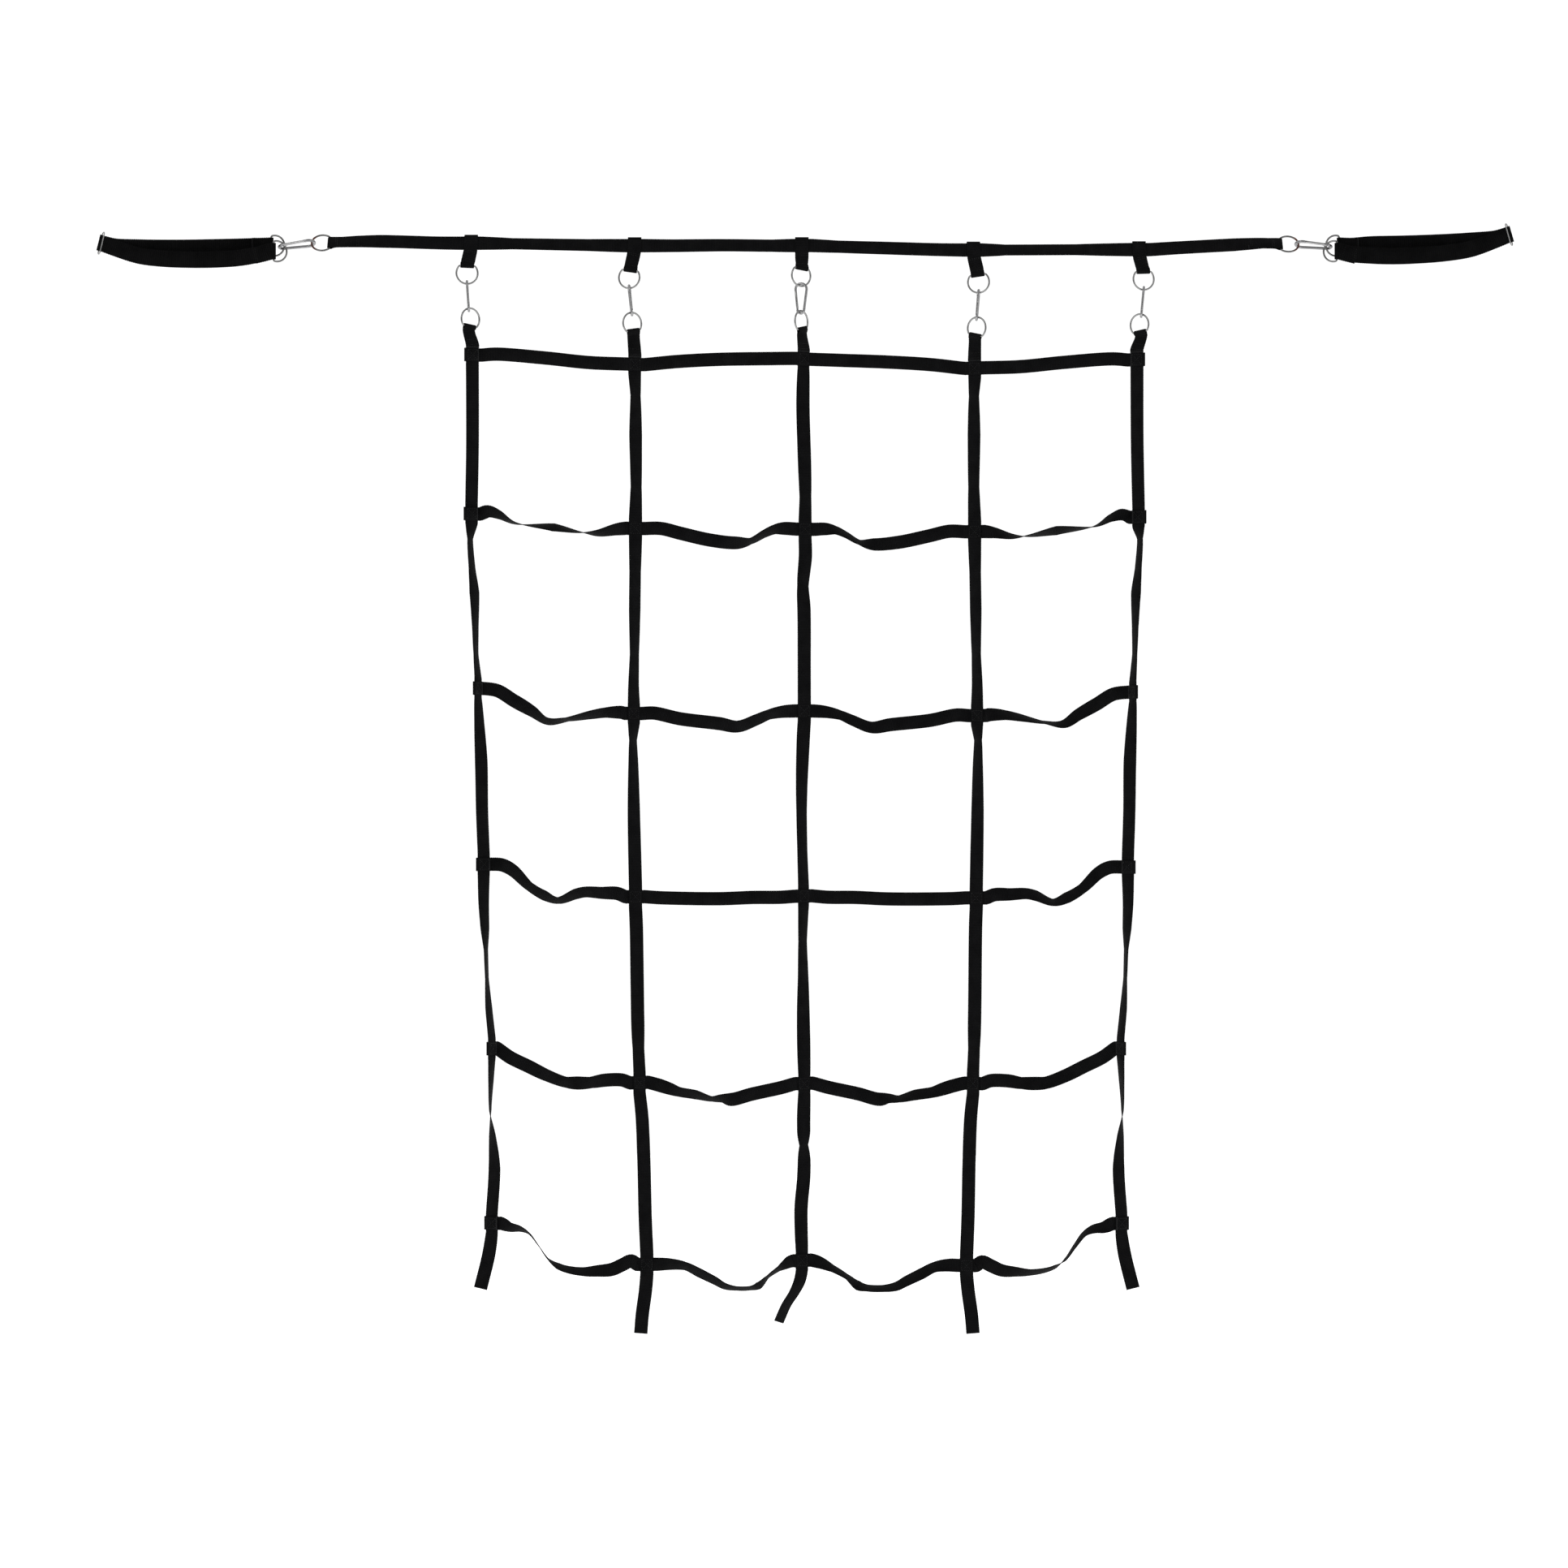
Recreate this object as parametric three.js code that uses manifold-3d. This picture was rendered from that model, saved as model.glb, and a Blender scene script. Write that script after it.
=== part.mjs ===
// A hung climbing net of webbing straps, with the snap hooks and rings that it hangs by.
// Millimetres, +Z up, seen from the front along +Y. The origin is the middle of the header strap.
import * as THREE from "three";
import { mergeVertices } from "three/addons/utils/BufferGeometryUtils.js";
import Module from "manifold-3d";

const wasm = await Module();
wasm.setup();

// Driving sizes
const CLEARANCE = 0.4; // between pieces that rest on each other
const LINK_PLAY = 0.65; // between a ring and a hook hung in it
const FOLD_PLAY = 0.5; // between a ring's bar and the webbing folded round it
const FOLD_LEAD = 3; // webbing stays straight this far each side of a fold
const FOLD_ANGLES = [0, 45, 90, 135, 180];
const WEB = { wide: 25, thick: 1.6 }; // net and header webbing
const ANCHOR_WEB = { wide: 30, thick: 2 };
const LAYER = WEB.thick + CLEARANCE; // from one layer of webbing to the next
const ANCHOR_LAYER = ANCHOR_WEB.thick + CLEARANCE;
const WIRE_SIDES = 6;
const STRAP_STEP = 24; // usual step along a strap
// A ring's rise is from the centre of its round to its bar.
const RING = { wire: 1.8, radius: 19.85, rise: 13.3, corner: 3.5 };
const ANCHOR_RING = { wire: 1.8, radius: 19, rise: 6, corner: 3.5 };
const RING_STEPS = { corner: 2, round: 13, lead: 16 }; // lead: degrees from a corner into the round
const HOOK_STEPS = { narrow: 7, wide: 9 };
const KEEPER_STEPS = 6;
const PIN_SIDES = 8;
const HOOK = { wire: 2.45, wide: 10.4, narrow: 6.1, long: 60 };
const END_HOOK = { wire: 2.75, wide: 12.4, narrow: 8, long: 71 };
// A gate is a little thinner than its hook, and slotted at both ends over the tongues of heel and nose.
const GATE = { thin: 0.15, slot: 2.2, pin: 0.8, pinShare: 1.7, heel: 1.9, slip: 0.4, bite: 3.6, over: 1 };
const TONGUE = { thick: 1.6, inset: 0.6, root: 0.7 }; // root: how deep it is set into the wire's end
const HOOK_ENDS = { stub: 0.9, heelRoom: 0.5, noseShort: 2 };
const KEEPER = { wire: 1.15, apart: 9, long: 44, turn: 30, beyond: 5 };
const HALF_HEADER = 883; // header's middle to the outside of its end folds
const HEADER_FOLD = { lap: 60, lead: 10, flat: 22, spread: 1.5 }; // its ends, folded back and sewn
// Where a tab's layers begin and end, above the ring's bar.
const TAB = { lap: 20, start: 7.8, second: 7, near: 8.5, spread: 0.6 };
const RAIL_LEAD = 8; // a rail keeps the ring's turn this far below the bar
const WRAP = { end: 1.5, lead: 5 }; // a rung's end, from the rail's edges
const ANCHOR_LAP = [36, 20]; // anchor straps' folded-back ends
const FLAT = [-17.5, -13, 13, 17.5]; // a strap lies flat along this stretch of a crossing
const SWAY = 0.35; // how much of a crossing's heading carries on along the strap
const RIGHT_SWING = { from: 560, share: 0.0045 }; // the right half swings out below here and in above

const STRAP_BLACK = new THREE.MeshStandardMaterial({ color: 0x17171a, roughness: 0.85, metalness: 0 });
const ZINC_STEEL = new THREE.MeshStandardMaterial({ color: 0xb3b5b6, roughness: 0.32, metalness: 1 });

// Tables. A turn is in degrees about the strap's own line, and down is below the header's line.
const table = (columns, ...rows) => {
  const names = columns.split(" ");
  return rows.map((row) => Object.fromEntries(names.map((name, i) => [name, row[i]])));
};

// The header's line: tilt leans its top edge back between the tabs.
const HEADER = table("x z tilt",
  [-850, 7.8, 38], [-783, 8.4, 12], [-678, 5.5, 10], [-540, 4, 28], [-400, 1.5, 22], [-250, 0.3, 12],
  [-150, 1.2, 18], [-60, 0.4, 18], [60, -1.4, 18], [160, -4.4, 12], [250, -7, 10], [370, -7.6, 30],
  [500, -7, 30], [690, -3.5, 10], [790, 2, 12], [850, 5.6, 38]);

// One row for each hanger, from left to right: tab place, length and lean, ring and hook turns, and how far
// off its middle the lower ring hangs in the hook. A drop is from the header's middle to the tab's bottom.
const HANGERS = table("x z drop lean ringTurn ringRoll sway hookTurn lowTurn lowRoll lowAim",
  [-617, 5, 46, -7.5, 12, 1, 3.8, 94, 38, 7, -18],
  [-315, 0.4, 49.5, -8, -14, 9, 5.9, 96, 34, -10, 7],
  [-6, 0.6, 46, 0, 30, 6.5, -0.9, -12, 54, -12, 7],
  [311, -7.6, 50, 8, -12, -7, -4.4, 84, -36, 13, -13],
  [617, -6.9, 45, 8, 14, -3, -5.2, 86, -38, -7, 19]);

// Crossings of the left half and the middle: where each rung meets each rail, how far the rail is turned
// there, and whether the rung passes in front of it (1) or behind (-1). lag is how much lower the same
// crossing hangs on the right half.
const CROSSING = "x down turn side lag";
const CROSSINGS = [
  table(CROSSING, [-615, 201, 20, -1, 9], [-315, 219, 20, 1, 7], [-3, 209, 30, 1, 0]),
  table(CROSSING, [-616.5, 495, 26, -1, 6], [-313.5, 522, 12, -1, 6], [0, 523.5, 14, -1, 0]),
  table(CROSSING, [-604.5, 817.5, 62, -1, 7], [-316.5, 864, 28, -1, 4], [-1.5, 859.5, 10, -1, 0]),
  table(CROSSING, [-594, 1143, 30, -1, 5], [-313.5, 1203, 10, -1, 2], [-3, 1201.5, 36, 1, 0]),
  table(CROSSING, [-579, 1483, 60, -1, 0], [-306, 1546.5, 26, -1, 1.5], [-1.5, 1548, 26, -1, 0]),
  table(CROSSING, [-579, 1806, 156, -1, 0.5], [-292.5, 1882.5, 4, -1, 2], [-6, 1875, 24, 1, 0]),
];

// Bends of a rail between its crossings, from the top down; the last rows are its free tail.
const RAILS = [
  table("down x turn",
    [363, -614.7, 24], [541.5, -619, 71], [595.5, -615.6, 65], [640.5, -611.3, 48], [703.5, -609.5, 66],
    [754.5, -608.3, 74], [883.5, -602.1, 46], [955.5, -598.5, 24], [1045.5, -597, 30], [1213.5, -594, 43],
    [1261.5, -591.8, 54], [1300.5, -590, 77], [1354.5, -588, 80], [1408.5, -584.6, 64], [1540.5, -580.5, 71],
    [1597.5, -581.8, 86], [1645.5, -577.8, 124], [1705.5, -574.2, 155], [1863, -584.5, 174],
    [1927, -600, 178]),
  table("down x turn",
    [277.5, -313.4, 44], [349.5, -313.2, 21], [445.5, -312.3, 38], [601.5, -314.1, 34], [673.5, -314.9, 34],
    [754.5, -315.5, 50], [813, -317, 40], [913.5, -318, 58], [955.5, -317.5, 46], [1045.5, -316.5, 26],
    [1120.5, -315, 16], [1255.5, -312, 2], [1420.5, -309.5, 2], [1483.5, -308, 32], [1609.5, -301.4, 18],
    [1690.5, -298, 10], [1795.5, -295.5, 4], [1930.5, -295, 5], [1975.5, -301, 0], [2010, -303.8, 0]),
  table("down x turn",
    [295.5, -4, 2], [385.5, -1.5, 2], [463.5, 0.5, 29], [573, 0.5, 4], [628.5, -4, 33], [673.5, -2, 4],
    [775.5, -1.6, 12], [903, -3, 6], [985.5, -6, 29], [1045.5, -6.5, 39], [1120.5, -5, 42],
    [1285.5, -4.6, 51], [1354.5, -3.6, 38], [1414.5, -3.4, 20], [1473, -2.6, 6], [1612.5, -2.7, 4],
    [1636, -2.6, 10], [1662, -2.5, 50], [1690, -1.8, 16], [1722, -2.6, 4], [1780.5, -7.5, 0],
    [1912.5, -10, 26], [1934, -20, 36], [1958, -35, 40], [1989, -48.7, 40]),
];

// Bends of each rung in its outer and inner bay: how far along the bay, how far below the straight line.
const RUNGS = [
  { outer: table("at drop turn", [0.15, -4, 0], [0.45, -2, 0], [0.72, 2, 0]),
    inner: table("at drop turn", [0.25, -3, 0], [0.5, -4, 0], [0.8, -2, 0]) },
  { outer: table("at drop turn", [0.1, -7.2, 26], [0.165, -3, 52], [0.26, 9.5, 82], [0.5, 11.5, 129],
      [0.67, 16.5, 96], [0.77, 15, 64], [0.88, 5.5, 32]),
    inner: table("at drop turn", [0.15, 0, 0], [0.27, 9, 0], [0.44, 21, 5], [0.59, 26, 20], [0.68, 22.5, 66],
      [0.76, 9, 58], [0.82, 1, 48], [0.88, -1, 18]) },
  { outer: table("at drop turn", [0.12, -1.5, 0], [0.225, 12, 0], [0.34, 26, 30], [0.44, 40, 55],
      [0.57, 31, 76], [0.73, 15, 52], [0.82, 7, 42], [0.92, 2, 10]),
    inner: table("at drop turn", [0.12, 0, 0], [0.27, 11, 0], [0.5, 21, 8], [0.61, 27, 30], [0.72, 15, 36],
      [0.79, 6, 44], [0.87, 1, 26]) },
  { outer: table("at drop turn", [0.12, -6, 0], [0.19, 0, 20], [0.3, 23, 45], [0.4, 34, 38], [0.49, 37.5, 60],
      [0.61, 18, 38], [0.67, 11, 36], [0.78, 6, 25], [0.88, 1, 0]),
    inner: table("at drop turn", [0.15, 2, 0], [0.5, 4, 0], [0.7, 2, 0], [0.86, 2, 0]) },
  { outer: table("at drop turn", [0.12, 10, 0], [0.24, 19, 0], [0.37, 28, 20], [0.5, 32, 30], [0.58, 28, 5],
      [0.67, 21, 30], [0.77, 10, 5], [0.88, 2.5, 0]),
    inner: table("at drop turn", [0.12, 5, 0], [0.18, 11, 20], [0.24, 17, 40], [0.34, 22, 42],
      [0.44, 29.5, 64], [0.5, 28.5, 48], [0.56, 30, 5], [0.68, 20, 0], [0.86, 7.5, 0]) },
  { outer: table("at drop turn", [0.115, -2, 38], [0.18, -4, 57], [0.24, 0, 76], [0.3, 17, 82],
      [0.366, 38, 88], [0.43, 46, 111], [0.49, 47.5, 116], [0.59, 44, 124], [0.68, 36, 142],
      [0.775, 26, 165], [0.84, 13, 180], [0.9, 1, 180]),
    inner: table("at drop turn", [0.15, 0.5, 205], [0.25, 5, 226], [0.34, 18, 220], [0.44, 33, 226],
      [0.5, 43, 234], [0.58, 48, 246], [0.67, 48, 246], [0.72, 44, 230], [0.78, 28, 252], [0.85, 14, 242],
      [0.91, 4, 214]) },
];
const HALF_TWISTED = [5]; // rungs sewn on back to front at the inner rails
// How far out from the middle the bends of the right inner bays lie, beyond the left ones' mirror image.
const RIGHT_OUTWARDS = [0, 0, 0, 0, 0, 0.3];

// An anchor strap's two layers, from the rings outwards: out from the middle, and back (+) or forward (-).
const ANCHOR_RUNS = {
  back: table("out z back",
    [1045, 0, 9], [1095, -1.2, 9], [1140, -2, 9], [1185, -2.2, 9], [1232, -1.9, 6.5], [1276, -0.8, 1.4],
    [1296, 3.8, 1.3], [1304, 5.9, 1.3]),
  front: table("out z back",
    [1040, -23.5, -14], [1085, -26.8, -13], [1135, -27.2, -12], [1185, -25, -9.5], [1230, -19, -6],
    [1276, -4, -1.4], [1296, 3.4, -1.3], [1304, 5.9, -1.3]),
};
const ANCHOR_RISE = { from: 955, left: 0, right: 0.046 }; // how an anchor strap climbs, out from here
// Which way each layer's ring lies, its turn, where it is linked, how much nearer the middle that is and
// how steeply the strap leaves it.
const ANCHOR_RINGS = table("name way turn aim nearer dip",
  ["back", 1, 8, -9, 0, 0], ["front", -1, 22, 33, 2, 0.25]);
const FAR_FOLD = { leanFrom: 1190, tip: 1.3, rise: 0.5 }; // the anchor strap's far end leans over from here
// How an end links up: the hook's roll about its length, the link's height and the rings' places in it.
const END_LINK = { roll: 72, z: -1, apart: 2.4, ahead: 1 };

// Vectors and angles
const UP = new THREE.Vector3(0, 0, 1);
const vec = (x, y, z) => new THREE.Vector3(x, y, z);
const rad = THREE.MathUtils.degToRad;
const along = (point, direction, distance) => point.clone().addScaledVector(direction, distance);
const square = (v, to) => along(v, to, -v.dot(to)).normalize(); // the part of v square to a direction
const heading = (turn) => vec(Math.cos(rad(turn)), Math.sin(rad(turn)), 0);
const barLine = (turn, roll) => heading(turn).multiplyScalar(Math.cos(rad(roll))).setZ(-Math.sin(rad(roll)));

// A closed solid swept through stations {at, side, rise}, its outline measured along side and rise. Both
// halves of the outline are split along the same diagonal, so that a twisted strap keeps its thickness.
function sweep(stations, outline, closed = false) {
  const around = outline.length;
  const points = stations.flatMap(({ at, side, rise }) =>
    outline.map(([s, r]) => along(along(at, side, s), rise, r)));
  const faces = [];
  const quad = (a, b, c, d) => faces.push(a, b, c, a, c, d);
  const half = around / 2;
  const spans = closed ? stations.length : stations.length - 1;
  for (let i = 0; i < spans; i++)
    for (let k = 0; k < around; k++) {
      const next = (k + 1) % around;
      const far = ((i + 1) % stations.length) * around;
      const corners = [i * around + k, i * around + next, far + next, far + k];
      if (k < half) quad(...corners);
      else quad(corners[1], corners[2], corners[3], corners[0]);
    }
  if (!closed)
    for (let k = 1; k < around - 1; k++) {
      const last = (stations.length - 1) * around;
      faces.push(0, k + 1, k, last, last + k, last + k + 1);
    }
  let volume = 0;
  for (let i = 0; i < faces.length; i += 3) {
    const [a, b, c] = [0, 1, 2].map((k) => points[faces[i + k]]);
    volume += a.dot(b.clone().cross(c));
  }
  if (volume < 0) faces.reverse();
  return new THREE.BufferGeometry().setFromPoints(points).setIndex(faces);
}

// A strap through knots {at, wide}: a smooth line whose width direction turns evenly from knot to knot.
function stationsThrough(knots) {
  const curve = new THREE.CatmullRomCurve3(knots.map((knot) => knot.at), false, "centripetal");
  const spans = knots.length - 1;
  const stations = [];
  for (let i = 0; i < spans; i++) {
    const steps = Math.max(1, Math.round(knots[i].at.distanceTo(knots[i + 1].at) / STRAP_STEP));
    for (let k = 0; k < steps + (i === spans - 1); k++) {
      const part = k / steps;
      const wide = knots[i].wide.clone().lerp(knots[i + 1].wide, part);
      stations.push({ at: curve.getPoint((i + part) / spans), wide });
    }
  }
  stations.forEach((station, i) => {
    const before = stations[Math.max(0, i - 1)].at;
    const after = stations[Math.min(stations.length - 1, i + 1)].at;
    const ahead = after.clone().sub(before).normalize();
    station.side = square(station.wide, ahead);
    station.rise = ahead.cross(station.side);
  });
  return stations;
}

function strapGeometry(stations, web) {
  const [w, t] = [web.wide / 2, web.thick / 2];
  return sweep(stations, [[-w, -t], [w, -t], [w, t], [-w, t]]);
}

// Knots half way round a bar, from one side of it to the other by way of over.
function roundBar(bar, from, over, radius, wide) {
  const knots = FOLD_ANGLES.map((angle) => {
    const at = along(along(bar, from, radius * Math.cos(rad(angle))), over, radius * Math.sin(rad(angle)));
    return { at, wide };
  });
  const lead = (knot) => ({ at: along(knot.at, over, -FOLD_LEAD), wide });
  return [lead(knots[0]), ...knots, lead(knots.at(-1))];
}
const foldRadius = (ring, web) => ring.wire + FOLD_PLAY + web.thick / 2;

// Wire shapes lie in the XZ plane: arcs {x, z, r, from, to, steps}, joined by straight stretches.
function arcPoints(arcs) {
  return arcs.flatMap(({ x, z, r, from, to, steps }) =>
    Array.from({ length: steps + 1 }, (_, i) => {
      const angle = rad(from + ((to - from) * i) / steps);
      return vec(x + r * Math.cos(angle), 0, z + r * Math.sin(angle));
    }));
}

function wireGeometry(points, radius, closed) {
  const count = points.length;
  const stations = points.map((at, i) => {
    const before = closed ? points[(i + count - 1) % count] : points[Math.max(0, i - 1)];
    const after = closed ? points[(i + 1) % count] : points[Math.min(count - 1, i + 1)];
    const ahead = after.clone().sub(before).normalize();
    return { at, side: vec(0, 1, 0).cross(ahead), rise: vec(0, 1, 0) };
  });
  const outline = Array.from({ length: WIRE_SIDES }, (_, k) => {
    const angle = (2 * Math.PI * k) / WIRE_SIDES;
    return [radius * Math.cos(angle), radius * Math.sin(angle)];
  });
  return sweep(stations, outline, closed);
}

// Booleans
function solidOf(geometry) {
  const bare = geometry.clone();
  bare.deleteAttribute("normal");
  bare.deleteAttribute("uv");
  const merged = mergeVertices(bare, 1e-4);
  const mesh = { numProp: 3, vertProperties: merged.attributes.position.array };
  return new wasm.Manifold(new wasm.Mesh({ ...mesh, triVerts: new Uint32Array(merged.index.array) }));
}

function geometryOf(solid) {
  const mesh = solid.getMesh();
  const position = new THREE.BufferAttribute(new Float32Array(mesh.vertProperties), 3);
  return new THREE.BufferGeometry().setAttribute("position", position)
    .setIndex(new THREE.BufferAttribute(new Uint32Array(mesh.triVerts), 1));
}

// Pieces
const net = new THREE.Group();
function add(group, name, geometry, material) {
  const mesh = new THREE.Mesh(geometry, material.clone());
  mesh.name = name;
  group.add(mesh);
  return mesh;
}

// Stands an object at a place, its X and Z axes along two square directions.
function stand(object, place, x, z) {
  const basis = new THREE.Matrix4().makeBasis(x, z.clone().cross(x), z);
  object.position.copy(place);
  object.quaternion.setFromRotationMatrix(basis);
  return object;
}

// A D-ring: its bar's middle at the origin, along X, and its round hanging towards -Z.
function ringGeometry({ wire, radius, rise, corner }) {
  const x = Math.sqrt((radius - corner) ** 2 - (rise - corner) ** 2);
  const aim = THREE.MathUtils.radToDeg(Math.atan2(rise - corner, x));
  const start = aim - RING_STEPS.lead;
  const points = arcPoints([
    { x, z: -corner, r: corner, from: 90, to: aim, steps: RING_STEPS.corner },
    { x: 0, z: -rise, r: radius, from: start, to: -180 - start, steps: RING_STEPS.round },
    { x: -x, z: -corner, r: corner, from: 180 - aim, to: 90, steps: RING_STEPS.corner },
  ]);
  return wireGeometry(points, wire, true);
}

// Where a ring's bar sits when its round passes through a link, aim degrees off its middle towards wide.
function barFor(ring, link, out, wide, aim) {
  const [away, aside] = [ring.radius * Math.cos(rad(aim)), ring.radius * Math.sin(rad(aim))];
  return along(along(link, out, -away - ring.rise), wide, -aside);
}

// The snap hook's pear shape. Its wide end's link point is the origin, its narrow end hangs towards -Z and
// its gate is on the -X side.
function hookPlan({ wire, wide, narrow, long }) {
  const seat = wire + LINK_PLAY + RING.wire;
  const wideZ = -(wide - seat);
  const narrowZ = wideZ - (long - 2 * wire - wide - narrow);
  const lean = Math.asin((wide - narrow) / (wideZ - narrowZ));
  const side = (r, z) => vec(-r * Math.cos(lean), 0, z - r * Math.sin(lean));
  const [low, high] = [side(narrow, narrowZ), side(wide, wideZ)];
  const run = high.distanceTo(low);
  const gateLine = (distance) => low.clone().lerp(high, distance / run);
  const shoulder = GATE.heel + wire - GATE.thin + HOOK_ENDS.heelRoom; // end of the bend to the hinge pin
  const pivot = gateLine(shoulder);
  const noseAt = run - HOOK_ENDS.noseShort;
  const link = narrowZ - (narrow - seat);
  return { wideZ, narrowZ, lean, pivot, gateLine, noseAt, link, gateLong: noseAt - shoulder - GATE.slip };
}

// A flat tongue in the hook's plane, from one point to another, with a hole at its round end if pinned.
function tongueGeometry(from, to, half, hole) {
  const shape = new THREE.Shape();
  const aim = Math.atan2(to.z - from.z, to.x - from.x);
  const [dx, dz] = [-Math.sin(aim) * half, Math.cos(aim) * half];
  shape.moveTo(from.x + dx, from.z + dz);
  shape.lineTo(from.x - dx, from.z - dz);
  shape.absarc(to.x, to.z, half, aim - Math.PI / 2, aim + Math.PI / 2, false);
  if (hole) shape.holes.push(new THREE.Path().absarc(to.x, to.z, hole, 0, 2 * Math.PI, true));
  const plate = { depth: TONGUE.thick, bevelEnabled: false, curveSegments: 4 };
  return new THREE.ExtrudeGeometry(shape, plate).rotateX(Math.PI / 2).translate(0, TONGUE.thick / 2, 0);
}

function hookGeometry(hook) {
  const { wideZ, narrowZ, lean, pivot, gateLine, noseAt } = hookPlan(hook);
  const tilt = THREE.MathUtils.radToDeg(lean);
  const wire = wireGeometry([
    gateLine(HOOK_ENDS.stub),
    ...arcPoints([
      { x: 0, z: narrowZ, r: hook.narrow, from: 180 + tilt, to: 360 - tilt, steps: HOOK_STEPS.narrow },
      { x: 0, z: wideZ, r: hook.wide, from: -tilt, to: 180 + tilt, steps: HOOK_STEPS.wide },
    ]),
    gateLine(noseAt),
  ], hook.wire, false);
  const half = hook.wire - TONGUE.inset;
  const heel = tongueGeometry(gateLine(HOOK_ENDS.stub - TONGUE.root), pivot, half, GATE.pin + CLEARANCE);
  const nose = tongueGeometry(gateLine(noseAt + TONGUE.root), gateLine(noseAt - GATE.bite + half), half, 0);
  return geometryOf(solidOf(wire).add(solidOf(heel)).add(solidOf(nose)));
}

// A gate: its hinge pin at the origin along Y, its bar up Z, slotted at both ends.
function gateGeometry(hook) {
  const { gateLong } = hookPlan(hook);
  const radius = hook.wire - GATE.thin;
  const long = gateLong + GATE.heel;
  const bar = new THREE.CylinderGeometry(radius, radius, long, WIRE_SIDES).rotateX(Math.PI / 2)
    .translate(0, 0, long / 2 - GATE.heel);
  const cut = (low, high) => solidOf(new THREE.BoxGeometry(3 * radius, GATE.slot, high - low)
    .translate(0, 0, (low + high) / 2));
  const pin = new THREE.CylinderGeometry(GATE.pin, GATE.pin, GATE.pinShare * radius, PIN_SIDES);
  return geometryOf(solidOf(bar)
    .subtract(cut(-GATE.heel - GATE.over, hook.wire + CLEARANCE))
    .subtract(cut(gateLong - GATE.bite - CLEARANCE, gateLong + GATE.over))
    .add(solidOf(pin)));
}

// A hook and its gate, hung by its wide end from a link, leaning along up and with its width along wide.
function addHook(group, hook, names, link, up, wide) {
  const { pivot, lean } = hookPlan(hook);
  const place = stand(new THREE.Group(), link, square(wide, up), up);
  add(place, names[0], hookGeometry(hook), ZINC_STEEL);
  const gate = add(place, names[1], gateGeometry(hook), ZINC_STEEL);
  gate.position.copy(pivot);
  gate.rotation.y = -lean;
  group.add(place);
}

// A webbing tab from behind the header, over it, down round the ring's bar and up its own back.
function tabGeometry({ x, z, drop, lean }, bar, wide) {
  const plumb = square(UP, wide);
  const front = wide.clone().cross(UP).normalize();
  const flat = vec(1, 0, 0);
  const [low, high] = [z - WEB.wide / 2, z + WEB.wide / 2 + CLEARANCE]; // the header's edges
  const start = bar.z + TAB.start;
  const knot = (height, back) => {
    const aside = lean * THREE.MathUtils.smoothstep(z - height, 0, drop);
    const share = THREE.MathUtils.clamp((low - height) / (low - start), 0, 1);
    return { at: vec(x + aside, back, height), wide: flat.clone().lerp(wide, share).normalize() };
  };
  return strapGeometry(stationsThrough([
    knot(start, LAYER), knot(start + TAB.second, LAYER), knot(low, LAYER),
    ...roundBar(vec(x, 0, high), vec(0, 1, 0), UP, LAYER, flat),
    knot(low, -LAYER), knot(bar.z + TAB.near, -LAYER),
    ...roundBar(bar, front, plumb.clone().negate(), foldRadius(RING, WEB), wide),
    knot(bar.z + TAB.near, 2 * LAYER + TAB.spread), knot(start + TAB.lap, 2 * LAYER),
  ]), WEB);
}

// A rail from its sewn-down end, up over the ring's bar and down through the crossings to its tail.
function railGeometry(rows, crossings, bar, wide) {
  const fold = foldRadius(RING, WEB);
  const plumb = square(UP, wide);
  const front = wide.clone().cross(plumb);
  const backTop = along(bar, front, -fold);
  const main = [0, FOLD_LEAD, RAIL_LEAD].map((down) => ({ at: along(backTop, plumb, -down), wide }));
  const stops = crossings.flatMap(({ x, down, turn }) =>
    FLAT.map((step) => ({ down: down + step, x, turn })));
  [...rows, ...stops].sort((a, b) => a.down - b.down).forEach(({ down, x, turn }) =>
    main.push({ at: vec(x, 0, -down), wide: heading(turn) }));
  const body = stationsThrough(main);
  const flapEnd = crossings[0].down + FLAT[1] + CLEARANCE;
  const flap = body.filter(({ at }) => -at.z < flapEnd).map(({ at, side, rise }) => {
    const away = rise.y < 0 ? rise : rise.clone().negate();
    const sink = THREE.MathUtils.smoothstep(bar.z - at.z, FOLD_LEAD, RAIL_LEAD + FOLD_LEAD);
    return { at: along(at, away, THREE.MathUtils.lerp(2 * fold, LAYER, sink)), wide: side };
  });
  const loop = roundBar(bar, front, plumb, fold, wide).slice(2, -2);
  return strapGeometry(stationsThrough([...flap.reverse(), ...loop, ...main]), WEB);
}

// The rail's heading at a crossing, whichever way round the webbing lies.
const lyingFlat = (turn) => (turn > 90 ? turn - 180 : turn < -90 ? turn + 180 : turn);

// A place on a crossing: u along the rail's width, n in front of its middle.
function onCrossing({ x, down, turn, side }, u, n = side * LAYER) {
  const line = heading(lyingFlat(turn));
  return along(along(vec(x, 0, -down), line, u), vec(line.y, -line.x, 0), n);
}

// Places where a rung's end comes round an outer rail's edge, from its cut end in front to behind the rail.
function wrapPlaces(crossing, hand) {
  const edge = WEB.wide / 2 + CLEARANCE;
  const inFront = [WRAP.end - edge, edge - WRAP.lead, edge - WRAP.end];
  const behind = [edge - WRAP.end, edge - WRAP.lead];
  return [
    ...inFront.map((u) => onCrossing(crossing, hand * u, LAYER)),
    ...FOLD_ANGLES.map(rad).map((angle) =>
      onCrossing(crossing, hand * (edge + LAYER * Math.sin(angle)), LAYER * Math.cos(angle))),
    ...behind.map((u) => onCrossing(crossing, hand * u, -LAYER)),
  ];
}

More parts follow.
